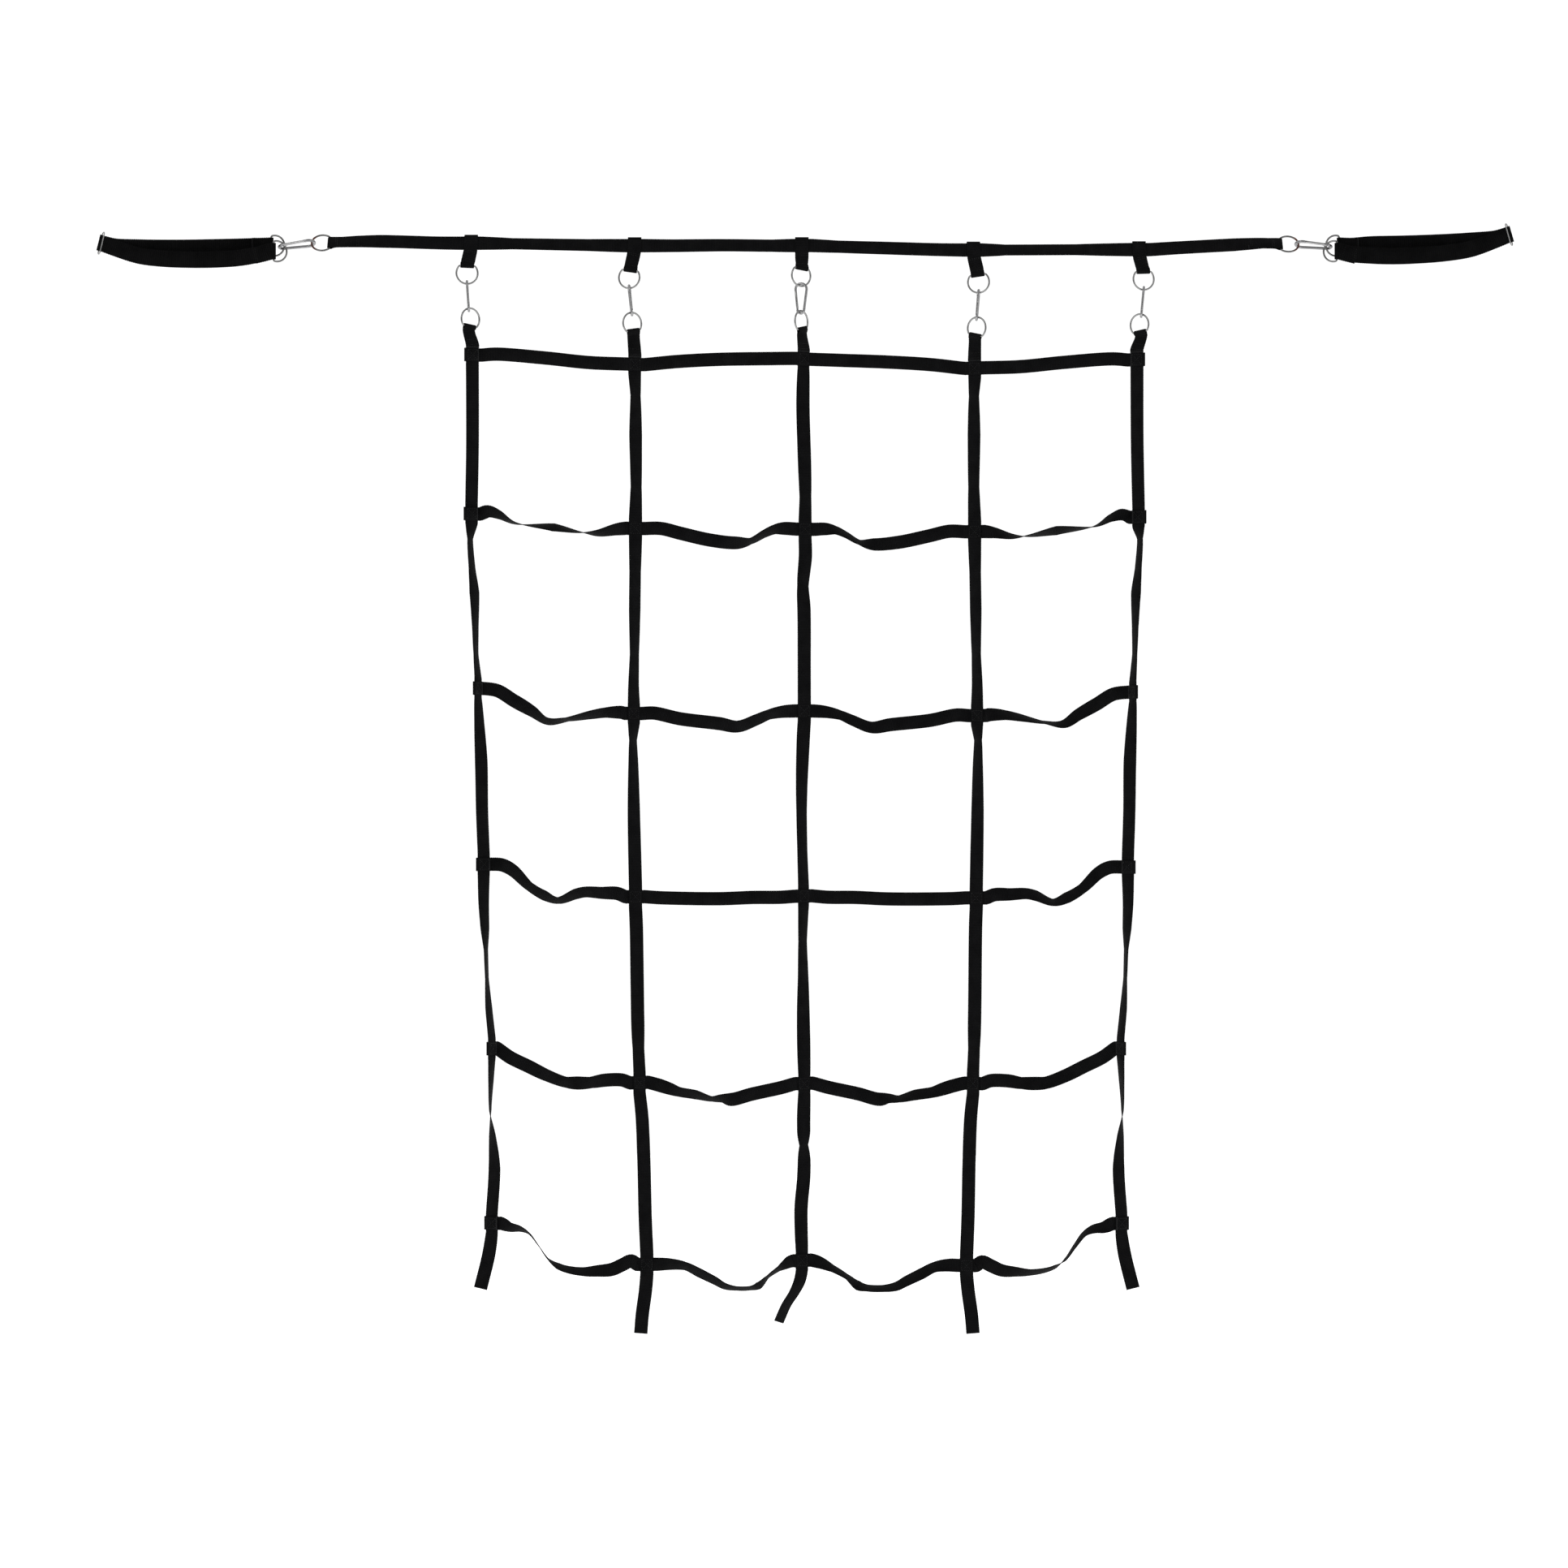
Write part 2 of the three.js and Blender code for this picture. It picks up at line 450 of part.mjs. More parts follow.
// Places along the bay between two crossings, bowed back and forth by the rails' turns.
function bayPlaces(a, b, rows) {
  const slope = ({ turn }) => SWAY * Math.tan(rad(lyingFlat(turn)));
  return rows.map(({ at, drop, turn }) => {
    const x = THREE.MathUtils.lerp(a.x, b.x, at);
    const back = (b.x - a.x) * at * (1 - at) * ((1 - at) * slope(a) - at * slope(b));
    return { at: vec(x, back, -THREE.MathUtils.lerp(a.down, b.down, at) - drop), turn };
  });
}

// A rung: wrapped round one outer rail, across the others and round the far one.
function rungGeometry({ outer, inner }, crossings, twisted, outwards) {
  const mirrored = (rows, shift) => rows.map(({ at, drop, turn }) => (
    { at: 1 - at + shift * at * (1 - at), drop, turn: -turn })).reverse();
  const bays = [outer, inner, mirrored(inner, outwards), mirrored(outer, 0)];
  const last = crossings.length - 1;
  const flat = (places, turn = 0) => places.map((at) => ({ at, turn }));
  const knots = crossings.flatMap((crossing, i) => {
    const steps = FLAT.slice(i === 0 ? 2 : 0, i === last ? 2 : 4);
    const turn = twisted && i > 0 && i < last ? 180 : 0;
    return [
      ...(i === 0 ? flat(wrapPlaces(crossing, -1)) : []),
      ...flat(steps.map((u) => onCrossing(crossing, u)), turn),
      ...(i === last
        ? flat(wrapPlaces(crossing, 1).reverse())
        : bayPlaces(crossing, crossings[i + 1], bays[i])),
    ];
  });
  knots.forEach((knot, i) => {
    const before = knots[Math.max(0, i - 1)].at;
    const after = knots[Math.min(knots.length - 1, i + 1)].at;
    const ahead = after.clone().sub(before).normalize();
    knot.wide = square(UP, ahead).applyAxisAngle(ahead, rad(knot.turn));
  });
  return strapGeometry(stationsThrough(knots), WEB);
}

// The right half of the net mirrors the left, hangs a little lower and swings out towards its tails.
const swungOut = (x, down) => RIGHT_SWING.share * (down - RIGHT_SWING.from) - x;
const mirroredCrossing = ({ x, down, turn, side, lag }) => (
  { x: swungOut(x, down), down: down + lag, turn: -turn, side });
const crossingsOfRung = CROSSINGS.map((left) =>
  [...left, mirroredCrossing(left[1]), mirroredCrossing(left[0])]);
const mirroredRail = (rows) => rows.map(({ down, x, turn }) => (
  { down, x: swungOut(x, down), turn: -turn }));
const rails = [...RAILS, mirroredRail(RAILS[1]), mirroredRail(RAILS[0])];

HANGERS.forEach((row, i) => {
  const hanger = new THREE.Group();
  net.add(hanger);
  const wide = barLine(row.ringTurn, row.ringRoll);
  const rise = square(UP, wide);
  const bar = vec(row.x + row.lean, 0, row.z - row.drop + WEB.thick / 2 + foldRadius(RING, WEB));
  add(hanger, `hanger_tab_${i + 1}`, tabGeometry(row, bar, wide), STRAP_BLACK);
  const ring = add(hanger, `upper_ring_${i + 1}`, ringGeometry(RING), ZINC_STEEL);
  stand(ring, bar, wide, rise);
  const link = along(along(bar, rise, -RING.rise), UP, -RING.radius);
  const up = vec(-Math.sin(rad(row.sway)), 0, Math.cos(rad(row.sway)));
  addHook(hanger, HOOK, [`hook_${i + 1}`, `gate_${i + 1}`], link, up, heading(row.hookTurn));
  const lowLink = along(link, up, hookPlan(HOOK).link);
  const lowWide = barLine(row.lowTurn, row.lowRoll);
  const lowRise = square(UP, lowWide);
  const lowBar = barFor(RING, lowLink, lowRise, lowWide, row.lowAim);
  const lowRing = add(hanger, `lower_ring_${i + 1}`, ringGeometry(RING), ZINC_STEEL);
  stand(lowRing, lowBar, lowWide.clone().negate(), lowRise.clone().negate());
  const crossings = crossingsOfRung.map((crossing) => crossing[i]);
  add(net, `rail_${i + 1}`, railGeometry(rails[i], crossings, lowBar, lowWide), STRAP_BLACK);
});

RUNGS.forEach((rung, i) => {
  const geometry = rungGeometry(rung, crossingsOfRung[i], HALF_TWISTED.includes(i), RIGHT_OUTWARDS[i]);
  add(net, `rung_${i + 1}`, geometry, STRAP_BLACK);
});

// The header, with its ends folded back behind it round the end rings' bars.
const tilted = (tilt) => vec(0, Math.sin(rad(tilt)), Math.cos(rad(tilt)));
function headerEnd({ z, tilt }, hand) {
  const wide = tilted(tilt);
  const back = vec(0, wide.z, -wide.y);
  const fold = foldRadius(RING, WEB);
  const bar = along(vec(hand * (HALF_HEADER - fold - WEB.thick / 2), 0, z), back, fold);
  const knot = (inward, rise) => ({ at: along(vec(bar.x - hand * inward, 0, z), back, rise), wide });
  const { lap, lead, flat, spread } = HEADER_FOLD;
  const knots = [
    knot(lap, LAYER), knot(lap / 2, LAYER), knot(lead, spread * LAYER),
    ...roundBar(bar, back, vec(hand, 0, 0), fold, wide), knot(flat, 0),
  ];
  return { hand, bar, wide, knots };
}
const headerEnds = [headerEnd(HEADER[0], -1), headerEnd(HEADER.at(-1), 1)];
const underTabs = HANGERS.flatMap(({ x, z }) => FLAT.map((step) => ({ x: x + step, z, tilt: 0 })));
const headerKnots = [...HEADER.slice(1, -1), ...underTabs].sort((a, b) => a.x - b.x)
  .map(({ x, z, tilt }) => ({ at: vec(x, 0, z), wide: tilted(tilt) }));
add(net, "header_strap", strapGeometry(stationsThrough(
  [...headerEnds[0].knots, ...headerKnots, ...headerEnds[1].knots.reverse()]), WEB), STRAP_BLACK);

// Each end: a ring in the header's fold, the long hook, two anchor rings, the anchor strap and its keeper.
function addEnd({ hand, bar, wide }, side) {
  const end = new THREE.Group();
  net.add(end);
  const inward = vec(-hand, 0, 0);
  stand(add(end, `header_ring_${side}`, ringGeometry(RING), ZINC_STEEL), bar, wide, inward);
  const link = along(bar, inward, -RING.rise - RING.radius);
  const reach = -hookPlan(END_HOOK).narrowZ - END_LINK.ahead;
  const lift = Math.asin((link.z - END_LINK.z) / reach);
  const up = vec(-hand * Math.cos(lift), 0, Math.sin(lift));
  const across = vec(0, -Math.sin(rad(END_LINK.roll)), Math.cos(rad(END_LINK.roll)));
  addHook(end, END_HOOK, [`end_hook_${side}`, `end_gate_${side}`], link, up, across.clone().negate());

  const risen = (row) => ({ ...row, z: row.z + ANCHOR_RISE[side] * (row.out - ANCHOR_RISE.from) });
  const runs = { back: ANCHOR_RUNS.back.map(risen), front: ANCHOR_RUNS.front.map(risen) };
  const [near, middle, far] = runs.back.slice(-3);
  const slope = vec(far.out - near.out, 0, far.z - near.z).normalize();
  const leaning = vec(-hand * slope.z, 0, slope.x);
  const leanAt = (out) => UP.clone()
    .lerp(leaning, THREE.MathUtils.smoothstep(out, FAR_FOLD.leanFrom, near.out)).normalize();
  const fold = foldRadius(ANCHOR_RING, ANCHOR_WEB);
  const layers = ANCHOR_RINGS.map(({ name, way, turn, aim, nearer, dip }) => {
    const out = vec(-hand * Math.cos(rad(turn)), -way * Math.sin(rad(turn)), 0);
    const hung = along(along(along(link, up, -reach), across, -way * END_LINK.apart), inward, nearer);
    const ringBar = barFor(ANCHOR_RING, hung, out, UP, aim);
    const ring = add(end, `anchor_ring_${side}_${name}`, ringGeometry(ANCHOR_RING), ZINC_STEEL);
    stand(ring, ringBar, UP, out.clone().negate());
    const outer = vec(0, way, 0);
    const away = vec(hand, 0, -dip);
    const knot = (outward, rise) => ({ at: along(along(ringBar, away, outward), outer, rise), wide: UP });
    return [
      ...ANCHOR_LAP.map((outward) => knot(outward, fold - ANCHOR_LAYER)),
      ...roundBar(ringBar, outer.clone().negate(), inward, fold, UP), knot(ANCHOR_LAP[1], fold),
      ...runs[name].map((row) => (
        { at: vec(hand * row.out, row.back, row.z), wide: leanAt(row.out) })),
    ];
  });
  const tip = { at: vec(hand * (far.out + FAR_FOLD.tip), 0, far.z + FAR_FOLD.rise), wide: leaning };
  const strap = strapGeometry(stationsThrough([...layers[0], tip, ...layers[1].reverse()]), ANCHOR_WEB);
  add(end, `anchor_strap_${side}`, strap, STRAP_BLACK);

  const half = (KEEPER.long - KEEPER.apart) / 2 - KEEPER.wire;
  const bow = { x: 0, r: KEEPER.apart / 2, steps: KEEPER_STEPS };
  const keeperPoints = arcPoints([
    { ...bow, z: half, from: 0, to: 180 }, { ...bow, z: -half, from: 180, to: 360 }]);
  const keeper = add(end, `keeper_${side}`, wireGeometry(keeperPoints, KEEPER.wire, true), ZINC_STEEL);
  const sideways = vec(hand * slope.x, 0, slope.z);
  const deep = vec(0, Math.cos(rad(KEEPER.turn)), 0).addScaledVector(sideways, Math.sin(rad(KEEPER.turn)));
  stand(keeper, along(vec(hand * middle.out, 0, middle.z), sideways, KEEPER.beyond), deep, leaning);
}
addEnd(headerEnds[0], "left");
addEnd(headerEnds[1], "right");

export default net;
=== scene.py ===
# %% [markdown]
# # A hung climbing net
# The object is a net of black webbing straps, sewn in a grid and clipped under a header strap by rings and
# snap hooks. This lesson rebuilds it around its CAD frame. Flat straps are made as ribbons that follow a
# smooth line, steel wire is bent with the spin and extrude operators, and the sewing is laid on last.

# %% Load the frame
import math
from types import SimpleNamespace

import bpy
import numpy as np
from mathutils import Matrix, Vector


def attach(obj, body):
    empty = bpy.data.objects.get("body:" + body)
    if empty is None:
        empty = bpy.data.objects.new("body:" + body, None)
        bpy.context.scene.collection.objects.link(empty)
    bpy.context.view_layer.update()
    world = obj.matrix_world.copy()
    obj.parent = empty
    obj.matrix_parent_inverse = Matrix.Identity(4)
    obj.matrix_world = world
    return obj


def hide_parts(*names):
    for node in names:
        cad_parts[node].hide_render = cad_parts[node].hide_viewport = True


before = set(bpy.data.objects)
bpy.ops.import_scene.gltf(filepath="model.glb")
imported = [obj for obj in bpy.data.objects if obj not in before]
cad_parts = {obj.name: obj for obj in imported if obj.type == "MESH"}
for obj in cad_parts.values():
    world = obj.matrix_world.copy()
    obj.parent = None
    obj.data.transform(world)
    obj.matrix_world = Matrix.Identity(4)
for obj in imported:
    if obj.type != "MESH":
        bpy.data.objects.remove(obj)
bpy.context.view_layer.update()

# %% [markdown]
# The camera comes first. The photograph was taken from straight in front, with the header level, so the
# camera looks along +Y. A long lens far away keeps the straps parallel, as they are in the picture. What the
# camera sees is given in metres, Blender's own unit.

# %% The camera
VIEW_WIDTH = 2.898
VIEW_CENTRE = (-0.039, -0.9945)
CAMERA_AWAY = 8.0
SENSOR_WIDTH = 36
camera_data = bpy.data.cameras.new("camera")
camera_data.sensor_width = SENSOR_WIDTH
camera_data.lens = SENSOR_WIDTH * CAMERA_AWAY / VIEW_WIDTH
camera = bpy.data.objects.new("camera", camera_data)
camera.location = (VIEW_CENTRE[0], -CAMERA_AWAY, VIEW_CENTRE[1])
camera.rotation_euler = (math.pi / 2, 0, 0)
bpy.context.collection.objects.link(camera)
bpy.context.scene.camera = camera
print("lens, mm:", round(camera_data.lens, 1))

# %% [markdown]
# The sizes are those of a maker's drawing, in millimetres: 25 mm webbing for the net, 30 mm for the anchor
# straps, and wire of three thicknesses. MM turns them into Blender's metres when a mesh is made.

# %% Sizes
MM = 0.001
CLEARANCE = 0.4  # between layers of webbing
LINK_PLAY = 0.65  # between a hook's wire and a ring's
FOLD_PLAY = 0.5  # between a ring's bar and the webbing round it
FOLD_LEAD = 3  # straight webbing on both sides of a bar
WEB = SimpleNamespace(wide=25, thick=1.6)
ANCHOR_WEB = SimpleNamespace(wide=30, thick=2)
RING = SimpleNamespace(wire=1.8, radius=19.85, rise=13.3, corner=3.5)
ANCHOR_RING = SimpleNamespace(wire=1.8, radius=19, rise=6, corner=3.5)
HOOK = SimpleNamespace(wire=2.45, wide=10.4, narrow=6.1, long=60)
END_HOOK = SimpleNamespace(wire=2.75, wide=12.4, narrow=8, long=71)
GATE = SimpleNamespace(thin=0.15, slot=2.2, pin=0.8, heel=1.9, slip=0.4, bite=3.6, over=1)
TONGUE = SimpleNamespace(thick=1.6, inset=0.6, root=0.7)
HOOK_ENDS = SimpleNamespace(stub=0.9, heel_room=0.5, nose_short=2)
KEEPER = SimpleNamespace(wire=1.15, apart=9, long=44, turn=30, beyond=5)
HALF_HEADER = 883  # header's middle to the outside of its end folds
HEADER_FOLD = SimpleNamespace(lap=60, lead=10, flat=22, spread=1.5)
TAB = SimpleNamespace(lap=20, start=7.8, second=7, near=8.5, spread=0.6)
RAIL_LEAD = 8  # a rail keeps its ring's turn this far below the bar
WRAP = SimpleNamespace(end=1.5, lead=5)  # a rung's end, from the rail's edges
ANCHOR_LAP = (36, 20)  # the anchor straps' folded-back ends
FLAT = (-17.5, -13, 13, 17.5)  # a strap lies flat along this stretch of a crossing
SWAY = 0.35  # how much of a crossing's heading carries on along the strap
RIGHT_SWING = SimpleNamespace(start=560, share=0.0045)
LAYER = WEB.thick + CLEARANCE
ANCHOR_LAYER = ANCHOR_WEB.thick + CLEARANCE
print("middles of two layers of webbing, mm apart:", LAYER, "and", ANCHOR_LAYER)

# %% [markdown]
# The net hangs unevenly, so its bends are tables read off the photograph: one row for each bend, with named
# columns. A turn is in degrees about the strap's own line, and down is measured below the header.

# %% Tables of the header, the hangers and the crossings
def table(columns, *rows):
    return [SimpleNamespace(**dict(zip(columns.split(), row))) for row in rows]


HEADER = table(
    "x z tilt",
    (-850, 7.8, 38), (-783, 8.4, 12), (-678, 5.5, 10), (-540, 4, 28), (-400, 1.5, 22), (-250, 0.3, 12),
    (-150, 1.2, 18), (-60, 0.4, 18), (60, -1.4, 18), (160, -4.4, 12), (250, -7, 10), (370, -7.6, 30),
    (500, -7, 30), (690, -3.5, 10), (790, 2, 12), (850, 5.6, 38))
HANGERS = table(
    "x z drop lean ring_turn ring_roll sway hook_turn low_turn low_roll low_aim",
    (-617, 5, 46, -7.5, 12, 1, 3.8, 94, 38, 7, -18),
    (-315, 0.4, 49.5, -8, -14, 9, 5.9, 96, 34, -10, 7),
    (-6, 0.6, 46, 0, 30, 6.5, -0.9, -12, 54, -12, 7),
    (311, -7.6, 50, 8, -12, -7, -4.4, 84, -36, 13, -13),
    (617, -6.9, 45, 8, 14, -3, -5.2, 86, -38, -7, 19))
CROSSING = "x down turn side lag"
CROSSINGS = [
    table(CROSSING, (-615, 201, 20, -1, 9), (-315, 219, 20, 1, 7), (-3, 209, 30, 1, 0)),
    table(CROSSING, (-616.5, 495, 26, -1, 6), (-313.5, 522, 12, -1, 6), (0, 523.5, 14, -1, 0)),
    table(CROSSING, (-604.5, 817.5, 62, -1, 7), (-316.5, 864, 28, -1, 4), (-1.5, 859.5, 10, -1, 0)),
    table(CROSSING, (-594, 1143, 30, -1, 5), (-313.5, 1203, 10, -1, 2), (-3, 1201.5, 36, 1, 0)),
    table(CROSSING, (-579, 1483, 60, -1, 0), (-306, 1546.5, 26, -1, 1.5), (-1.5, 1548, 26, -1, 0)),
    table(CROSSING, (-579, 1806, 156, -1, 0.5), (-292.5, 1882.5, 4, -1, 2), (-6, 1875, 24, 1, 0)),
]
print("hangers:", len(HANGERS), " rungs:", len(CROSSINGS))

# %% [markdown]
# A rail hangs almost straight, but it twists where the bays on its two sides pull unevenly. Only the left and
# the middle rails have a table, because the right ones are nearly their mirror image.

# %% Tables of the rails' bends
BEND = "down x turn"
RAILS = [
    table(
        BEND, (363, -614.7, 24), (541.5, -619, 71), (595.5, -615.6, 65), (640.5, -611.3, 48),
        (703.5, -609.5, 66), (754.5, -608.3, 74), (883.5, -602.1, 46), (955.5, -598.5, 24),
        (1045.5, -597, 30), (1213.5, -594, 43), (1261.5, -591.8, 54), (1300.5, -590, 77),
        (1354.5, -588, 80), (1408.5, -584.6, 64), (1540.5, -580.5, 71), (1597.5, -581.8, 86),
        (1645.5, -577.8, 124), (1705.5, -574.2, 155), (1863, -584.5, 174), (1927, -600, 178)),
    table(
        BEND, (277.5, -313.4, 44), (349.5, -313.2, 21), (445.5, -312.3, 38), (601.5, -314.1, 34),
        (673.5, -314.9, 34), (754.5, -315.5, 50), (813, -317, 40), (913.5, -318, 58), (955.5, -317.5, 46),
        (1045.5, -316.5, 26), (1120.5, -315, 16), (1255.5, -312, 2), (1420.5, -309.5, 2), (1483.5, -308, 32),
        (1609.5, -301.4, 18), (1690.5, -298, 10), (1795.5, -295.5, 4), (1930.5, -295, 5), (1975.5, -301, 0),
        (2010, -303.8, 0)),
    table(
        BEND, (295.5, -4, 2), (385.5, -1.5, 2), (463.5, 0.5, 29), (573, 0.5, 4), (628.5, -4, 33),
        (673.5, -2, 4), (775.5, -1.6, 12), (903, -3, 6), (985.5, -6, 29), (1045.5, -6.5, 39),
        (1120.5, -5, 42), (1285.5, -4.6, 51), (1354.5, -3.6, 38), (1414.5, -3.4, 20), (1473, -2.6, 6),
        (1612.5, -2.7, 4), (1636, -2.6, 10), (1662, -2.5, 50), (1690, -1.8, 16), (1722, -2.6, 4),
        (1780.5, -7.5, 0), (1912.5, -10, 26), (1934, -20, 36), (1958, -35, 40), (1989, -48.7, 40)),
]
print("bends in the left and middle rails:", [len(rows) for rows in RAILS])

# %% [markdown]
# Slack webbing sags and flips over between two rails. A row gives how far along the bay a bend lies, as a
# share of the bay, how far below the straight line it hangs and how far the strap has turned there.

# %% Tables of the rungs' bends, in their outer and inner bays
SAG = "at drop turn"
RUNGS = [
    (table(SAG, (0.15, -4, 0), (0.45, -2, 0), (0.72, 2, 0)),
     table(SAG, (0.25, -3, 0), (0.5, -4, 0), (0.8, -2, 0))),
    (table(SAG, (0.1, -7.2, 26), (0.165, -3, 52), (0.26, 9.5, 82), (0.5, 11.5, 129), (0.67, 16.5, 96),
           (0.77, 15, 64), (0.88, 5.5, 32)),
     table(SAG, (0.15, 0, 0), (0.27, 9, 0), (0.44, 21, 5), (0.59, 26, 20), (0.68, 22.5, 66),
           (0.76, 9, 58), (0.82, 1, 48), (0.88, -1, 18))),
    (table(SAG, (0.12, -1.5, 0), (0.225, 12, 0), (0.34, 26, 30), (0.44, 40, 55), (0.57, 31, 76),
           (0.73, 15, 52), (0.82, 7, 42), (0.92, 2, 10)),
     table(SAG, (0.12, 0, 0), (0.27, 11, 0), (0.5, 21, 8), (0.61, 27, 30), (0.72, 15, 36),
           (0.79, 6, 44), (0.87, 1, 26))),
    (table(SAG, (0.12, -6, 0), (0.19, 0, 20), (0.3, 23, 45), (0.4, 34, 38), (0.49, 37.5, 60),
           (0.61, 18, 38), (0.67, 11, 36), (0.78, 6, 25), (0.88, 1, 0)),
     table(SAG, (0.15, 2, 0), (0.5, 4, 0), (0.7, 2, 0), (0.86, 2, 0))),
    (table(SAG, (0.12, 10, 0), (0.24, 19, 0), (0.37, 28, 20), (0.5, 32, 30), (0.58, 28, 5),
           (0.67, 21, 30), (0.77, 10, 5), (0.88, 2.5, 0)),
     table(SAG, (0.12, 5, 0), (0.18, 11, 20), (0.24, 17, 40), (0.34, 22, 42), (0.44, 29.5, 64),
           (0.5, 28.5, 48), (0.56, 30, 5), (0.68, 20, 0), (0.86, 7.5, 0))),
    (table(SAG, (0.115, -2, 38), (0.18, -4, 57), (0.24, 0, 76), (0.3, 17, 82), (0.366, 38, 88),
           (0.43, 46, 111), (0.49, 47.5, 116), (0.59, 44, 124), (0.68, 36, 142), (0.775, 26, 165),
           (0.84, 13, 180), (0.9, 1, 180)),
     table(SAG, (0.15, 0.5, 205), (0.25, 5, 226), (0.34, 18, 220), (0.44, 33, 226), (0.5, 43, 234),
           (0.58, 48, 246), (0.67, 48, 246), (0.72, 44, 230), (0.78, 28, 252), (0.85, 14, 242),
           (0.91, 4, 214))),
]
HALF_TWISTED = {6}  # rungs sewn on back to front at the inner rails
RIGHT_OUTWARDS = {6: 0.3}  # rungs whose bends lie farther out in the right inner bay than in the left
print("bends in each rung's left half:", [len(outer) + len(inner) for outer, inner in RUNGS])

# %% [markdown]
# An anchor strap lies double, so it has a run of bends for its back layer and one for its front layer. They
# are measured out from the net's middle and serve both ends; the right strap only climbs a little more.

# %% Tables of the anchor straps' two layers, and how the ends link up
ANCHOR_RUNS = {
    "back": table(
        "out z back", (1045, 0, 9), (1095, -1.2, 9), (1140, -2, 9), (1185, -2.2, 9), (1232, -1.9, 6.5),
        (1276, -0.8, 1.4), (1296, 3.8, 1.3), (1304, 5.9, 1.3)),
    "front": table(
        "out z back", (1040, -23.5, -14), (1085, -26.8, -13), (1135, -27.2, -12), (1185, -25, -9.5),
        (1230, -19, -6), (1276, -4, -1.4), (1296, 3.4, -1.3), (1304, 5.9, -1.3)),
}
ANCHOR_RISE = SimpleNamespace(start=955, left=0, right=0.046)
ANCHOR_RINGS = table(
    "name way turn aim nearer dip", ("back", 1, 8, -9, 0, 0), ("front", -1, 22, 33, 2, 0.25))
FAR_FOLD = SimpleNamespace(lean_from=1190, tip=1.3, rise=0.5)
END_LINK = SimpleNamespace(roll=72, z=-1, apart=2.4, ahead=1)
print("knots in an anchor strap's layers:", {name: len(rows) for name, rows in ANCHOR_RUNS.items()})

# %% [markdown]
# A strap is a line with a width direction at every point of it. The line is a centripetal Catmull-Rom spline
# through knots, which is a smooth curve that passes through each of them without loops. Between two knots the
# width direction turns evenly, as real webbing twists. Each station is squared up to the line's direction.

# %% Lines and directions
UP = Vector((0, 0, 1))


def heading(turn, roll=0):
    turn, roll = math.radians(turn), math.radians(roll)
    return Vector((math.cos(roll) * math.cos(turn), math.cos(roll) * math.sin(turn), -math.sin(roll)))


def square(v, to):
    return (v - to * v.dot(to)).normalized()


def smoothstep(value, low, high):
    share = min(1, max(0, (value - low) / (high - low)))
    return share * share * (3 - 2 * share)


def lerp(a, b, share):
    return a + (b - a) * share


def spline(p0, p1, p2, p3, share):
    d0, d1, d2 = ((b - a).length ** 0.5 for a, b in ((p0, p1), (p1, p2), (p2, p3)))
    t1 = ((p1 - p0) / d0 - (p2 - p0) / (d0 + d1) + (p2 - p1) / d1) * d1
    t2 = ((p2 - p1) / d1 - (p3 - p1) / (d1 + d2) + (p3 - p2) / d2) * d1
    square_part = 3 * (p2 - p1) - 2 * t1 - t2
    cube_part = 2 * (p1 - p2) + t1 + t2
    return p1 + share * (t1 + share * (square_part + share * cube_part))


def stations(knots, step):
    points = [at for at, _ in knots]
    points = [2 * points[0] - points[1], *points, 2 * points[-1] - points[-2]]
    places, widths = [], []
    for i in range(len(knots) - 1):
        pieces = max(1, round((points[i + 2] - points[i + 1]).length / step))
        for k in range(pieces + (i == len(knots) - 2)):
            places.append(spline(*points[i:i + 4], k / pieces))
            widths.append(lerp(knots[i][1], knots[i + 1][1], k / pieces))
    result = []
    for i, (at, wide) in enumerate(zip(places, widths)):
        ahead = (places[min(i + 1, len(places) - 1)] - places[max(i - 1, 0)]).normalized()
        side = square(wide, ahead)
        result.append(SimpleNamespace(at=at, side=side, rise=ahead.cross(side)))
    return result


print("turned 30 degrees and rolled 10, a bar points to", [round(v, 2) for v in heading(30, 10)])

# %% [markdown]
# Where a strap goes round a ring's bar, it follows half a circle, with a short straight lead on each side so
# that the spline doesn't swing out.

# %% Folds round a bar
HALF_TURN = [math.radians(angle) for angle in range(0, 181, 30)]


def round_bar(bar, start, over, radius, wide):
    arc = [(bar + radius * (math.cos(a) * start + math.sin(a) * over), wide) for a in HALF_TURN]
    lead = [(at - FOLD_LEAD * over, wide) for at, _ in (arc[0], arc[-1])]
    return [lead[0], *arc, lead[1]]


def fold_radius(ring, web):
    return ring.wire + FOLD_PLAY + web.thick / 2


print("radius of a fold's middle, mm:", fold_radius(RING, WEB))

# %% [markdown]
# A material is a small network of nodes. These helpers add a node, do one step of arithmetic, mix two colours
# and start a material, so that each finish below reads like a recipe.

# %% Node helpers
def node(tree, kind, **values):
    made = tree.nodes.new(kind)
    for name, value in values.items():
        setattr(made, name, value)
    return made


def math_node(tree, operation, a, b=None):
    made = node(tree, "ShaderNodeMath", operation=operation)
    for socket, value in zip(made.inputs, (a, b)):
        if isinstance(value, (int, float)):
            socket.default_value = value
        elif value is not None:
            tree.links.new(value, socket)
    return made.outputs[0]


def colour_mix(tree, share, a, b):
    made = node(tree, "ShaderNodeMix", data_type="RGBA")
    tree.links.new(share, made.inputs["Factor"])
    for socket, value in ((made.inputs[6], a), (made.inputs[7], b)):
        if isinstance(value, tuple):
            socket.default_value = (*value, 1)
        else:
            tree.links.new(value, socket)
    return made.outputs[2]


def new_material(name):
    material = bpy.data.materials.new(name)
    material.use_nodes = True
    return material, material.node_tree, material.node_tree.nodes["Principled BSDF"]


print("materials so far:", len(bpy.data.materials))

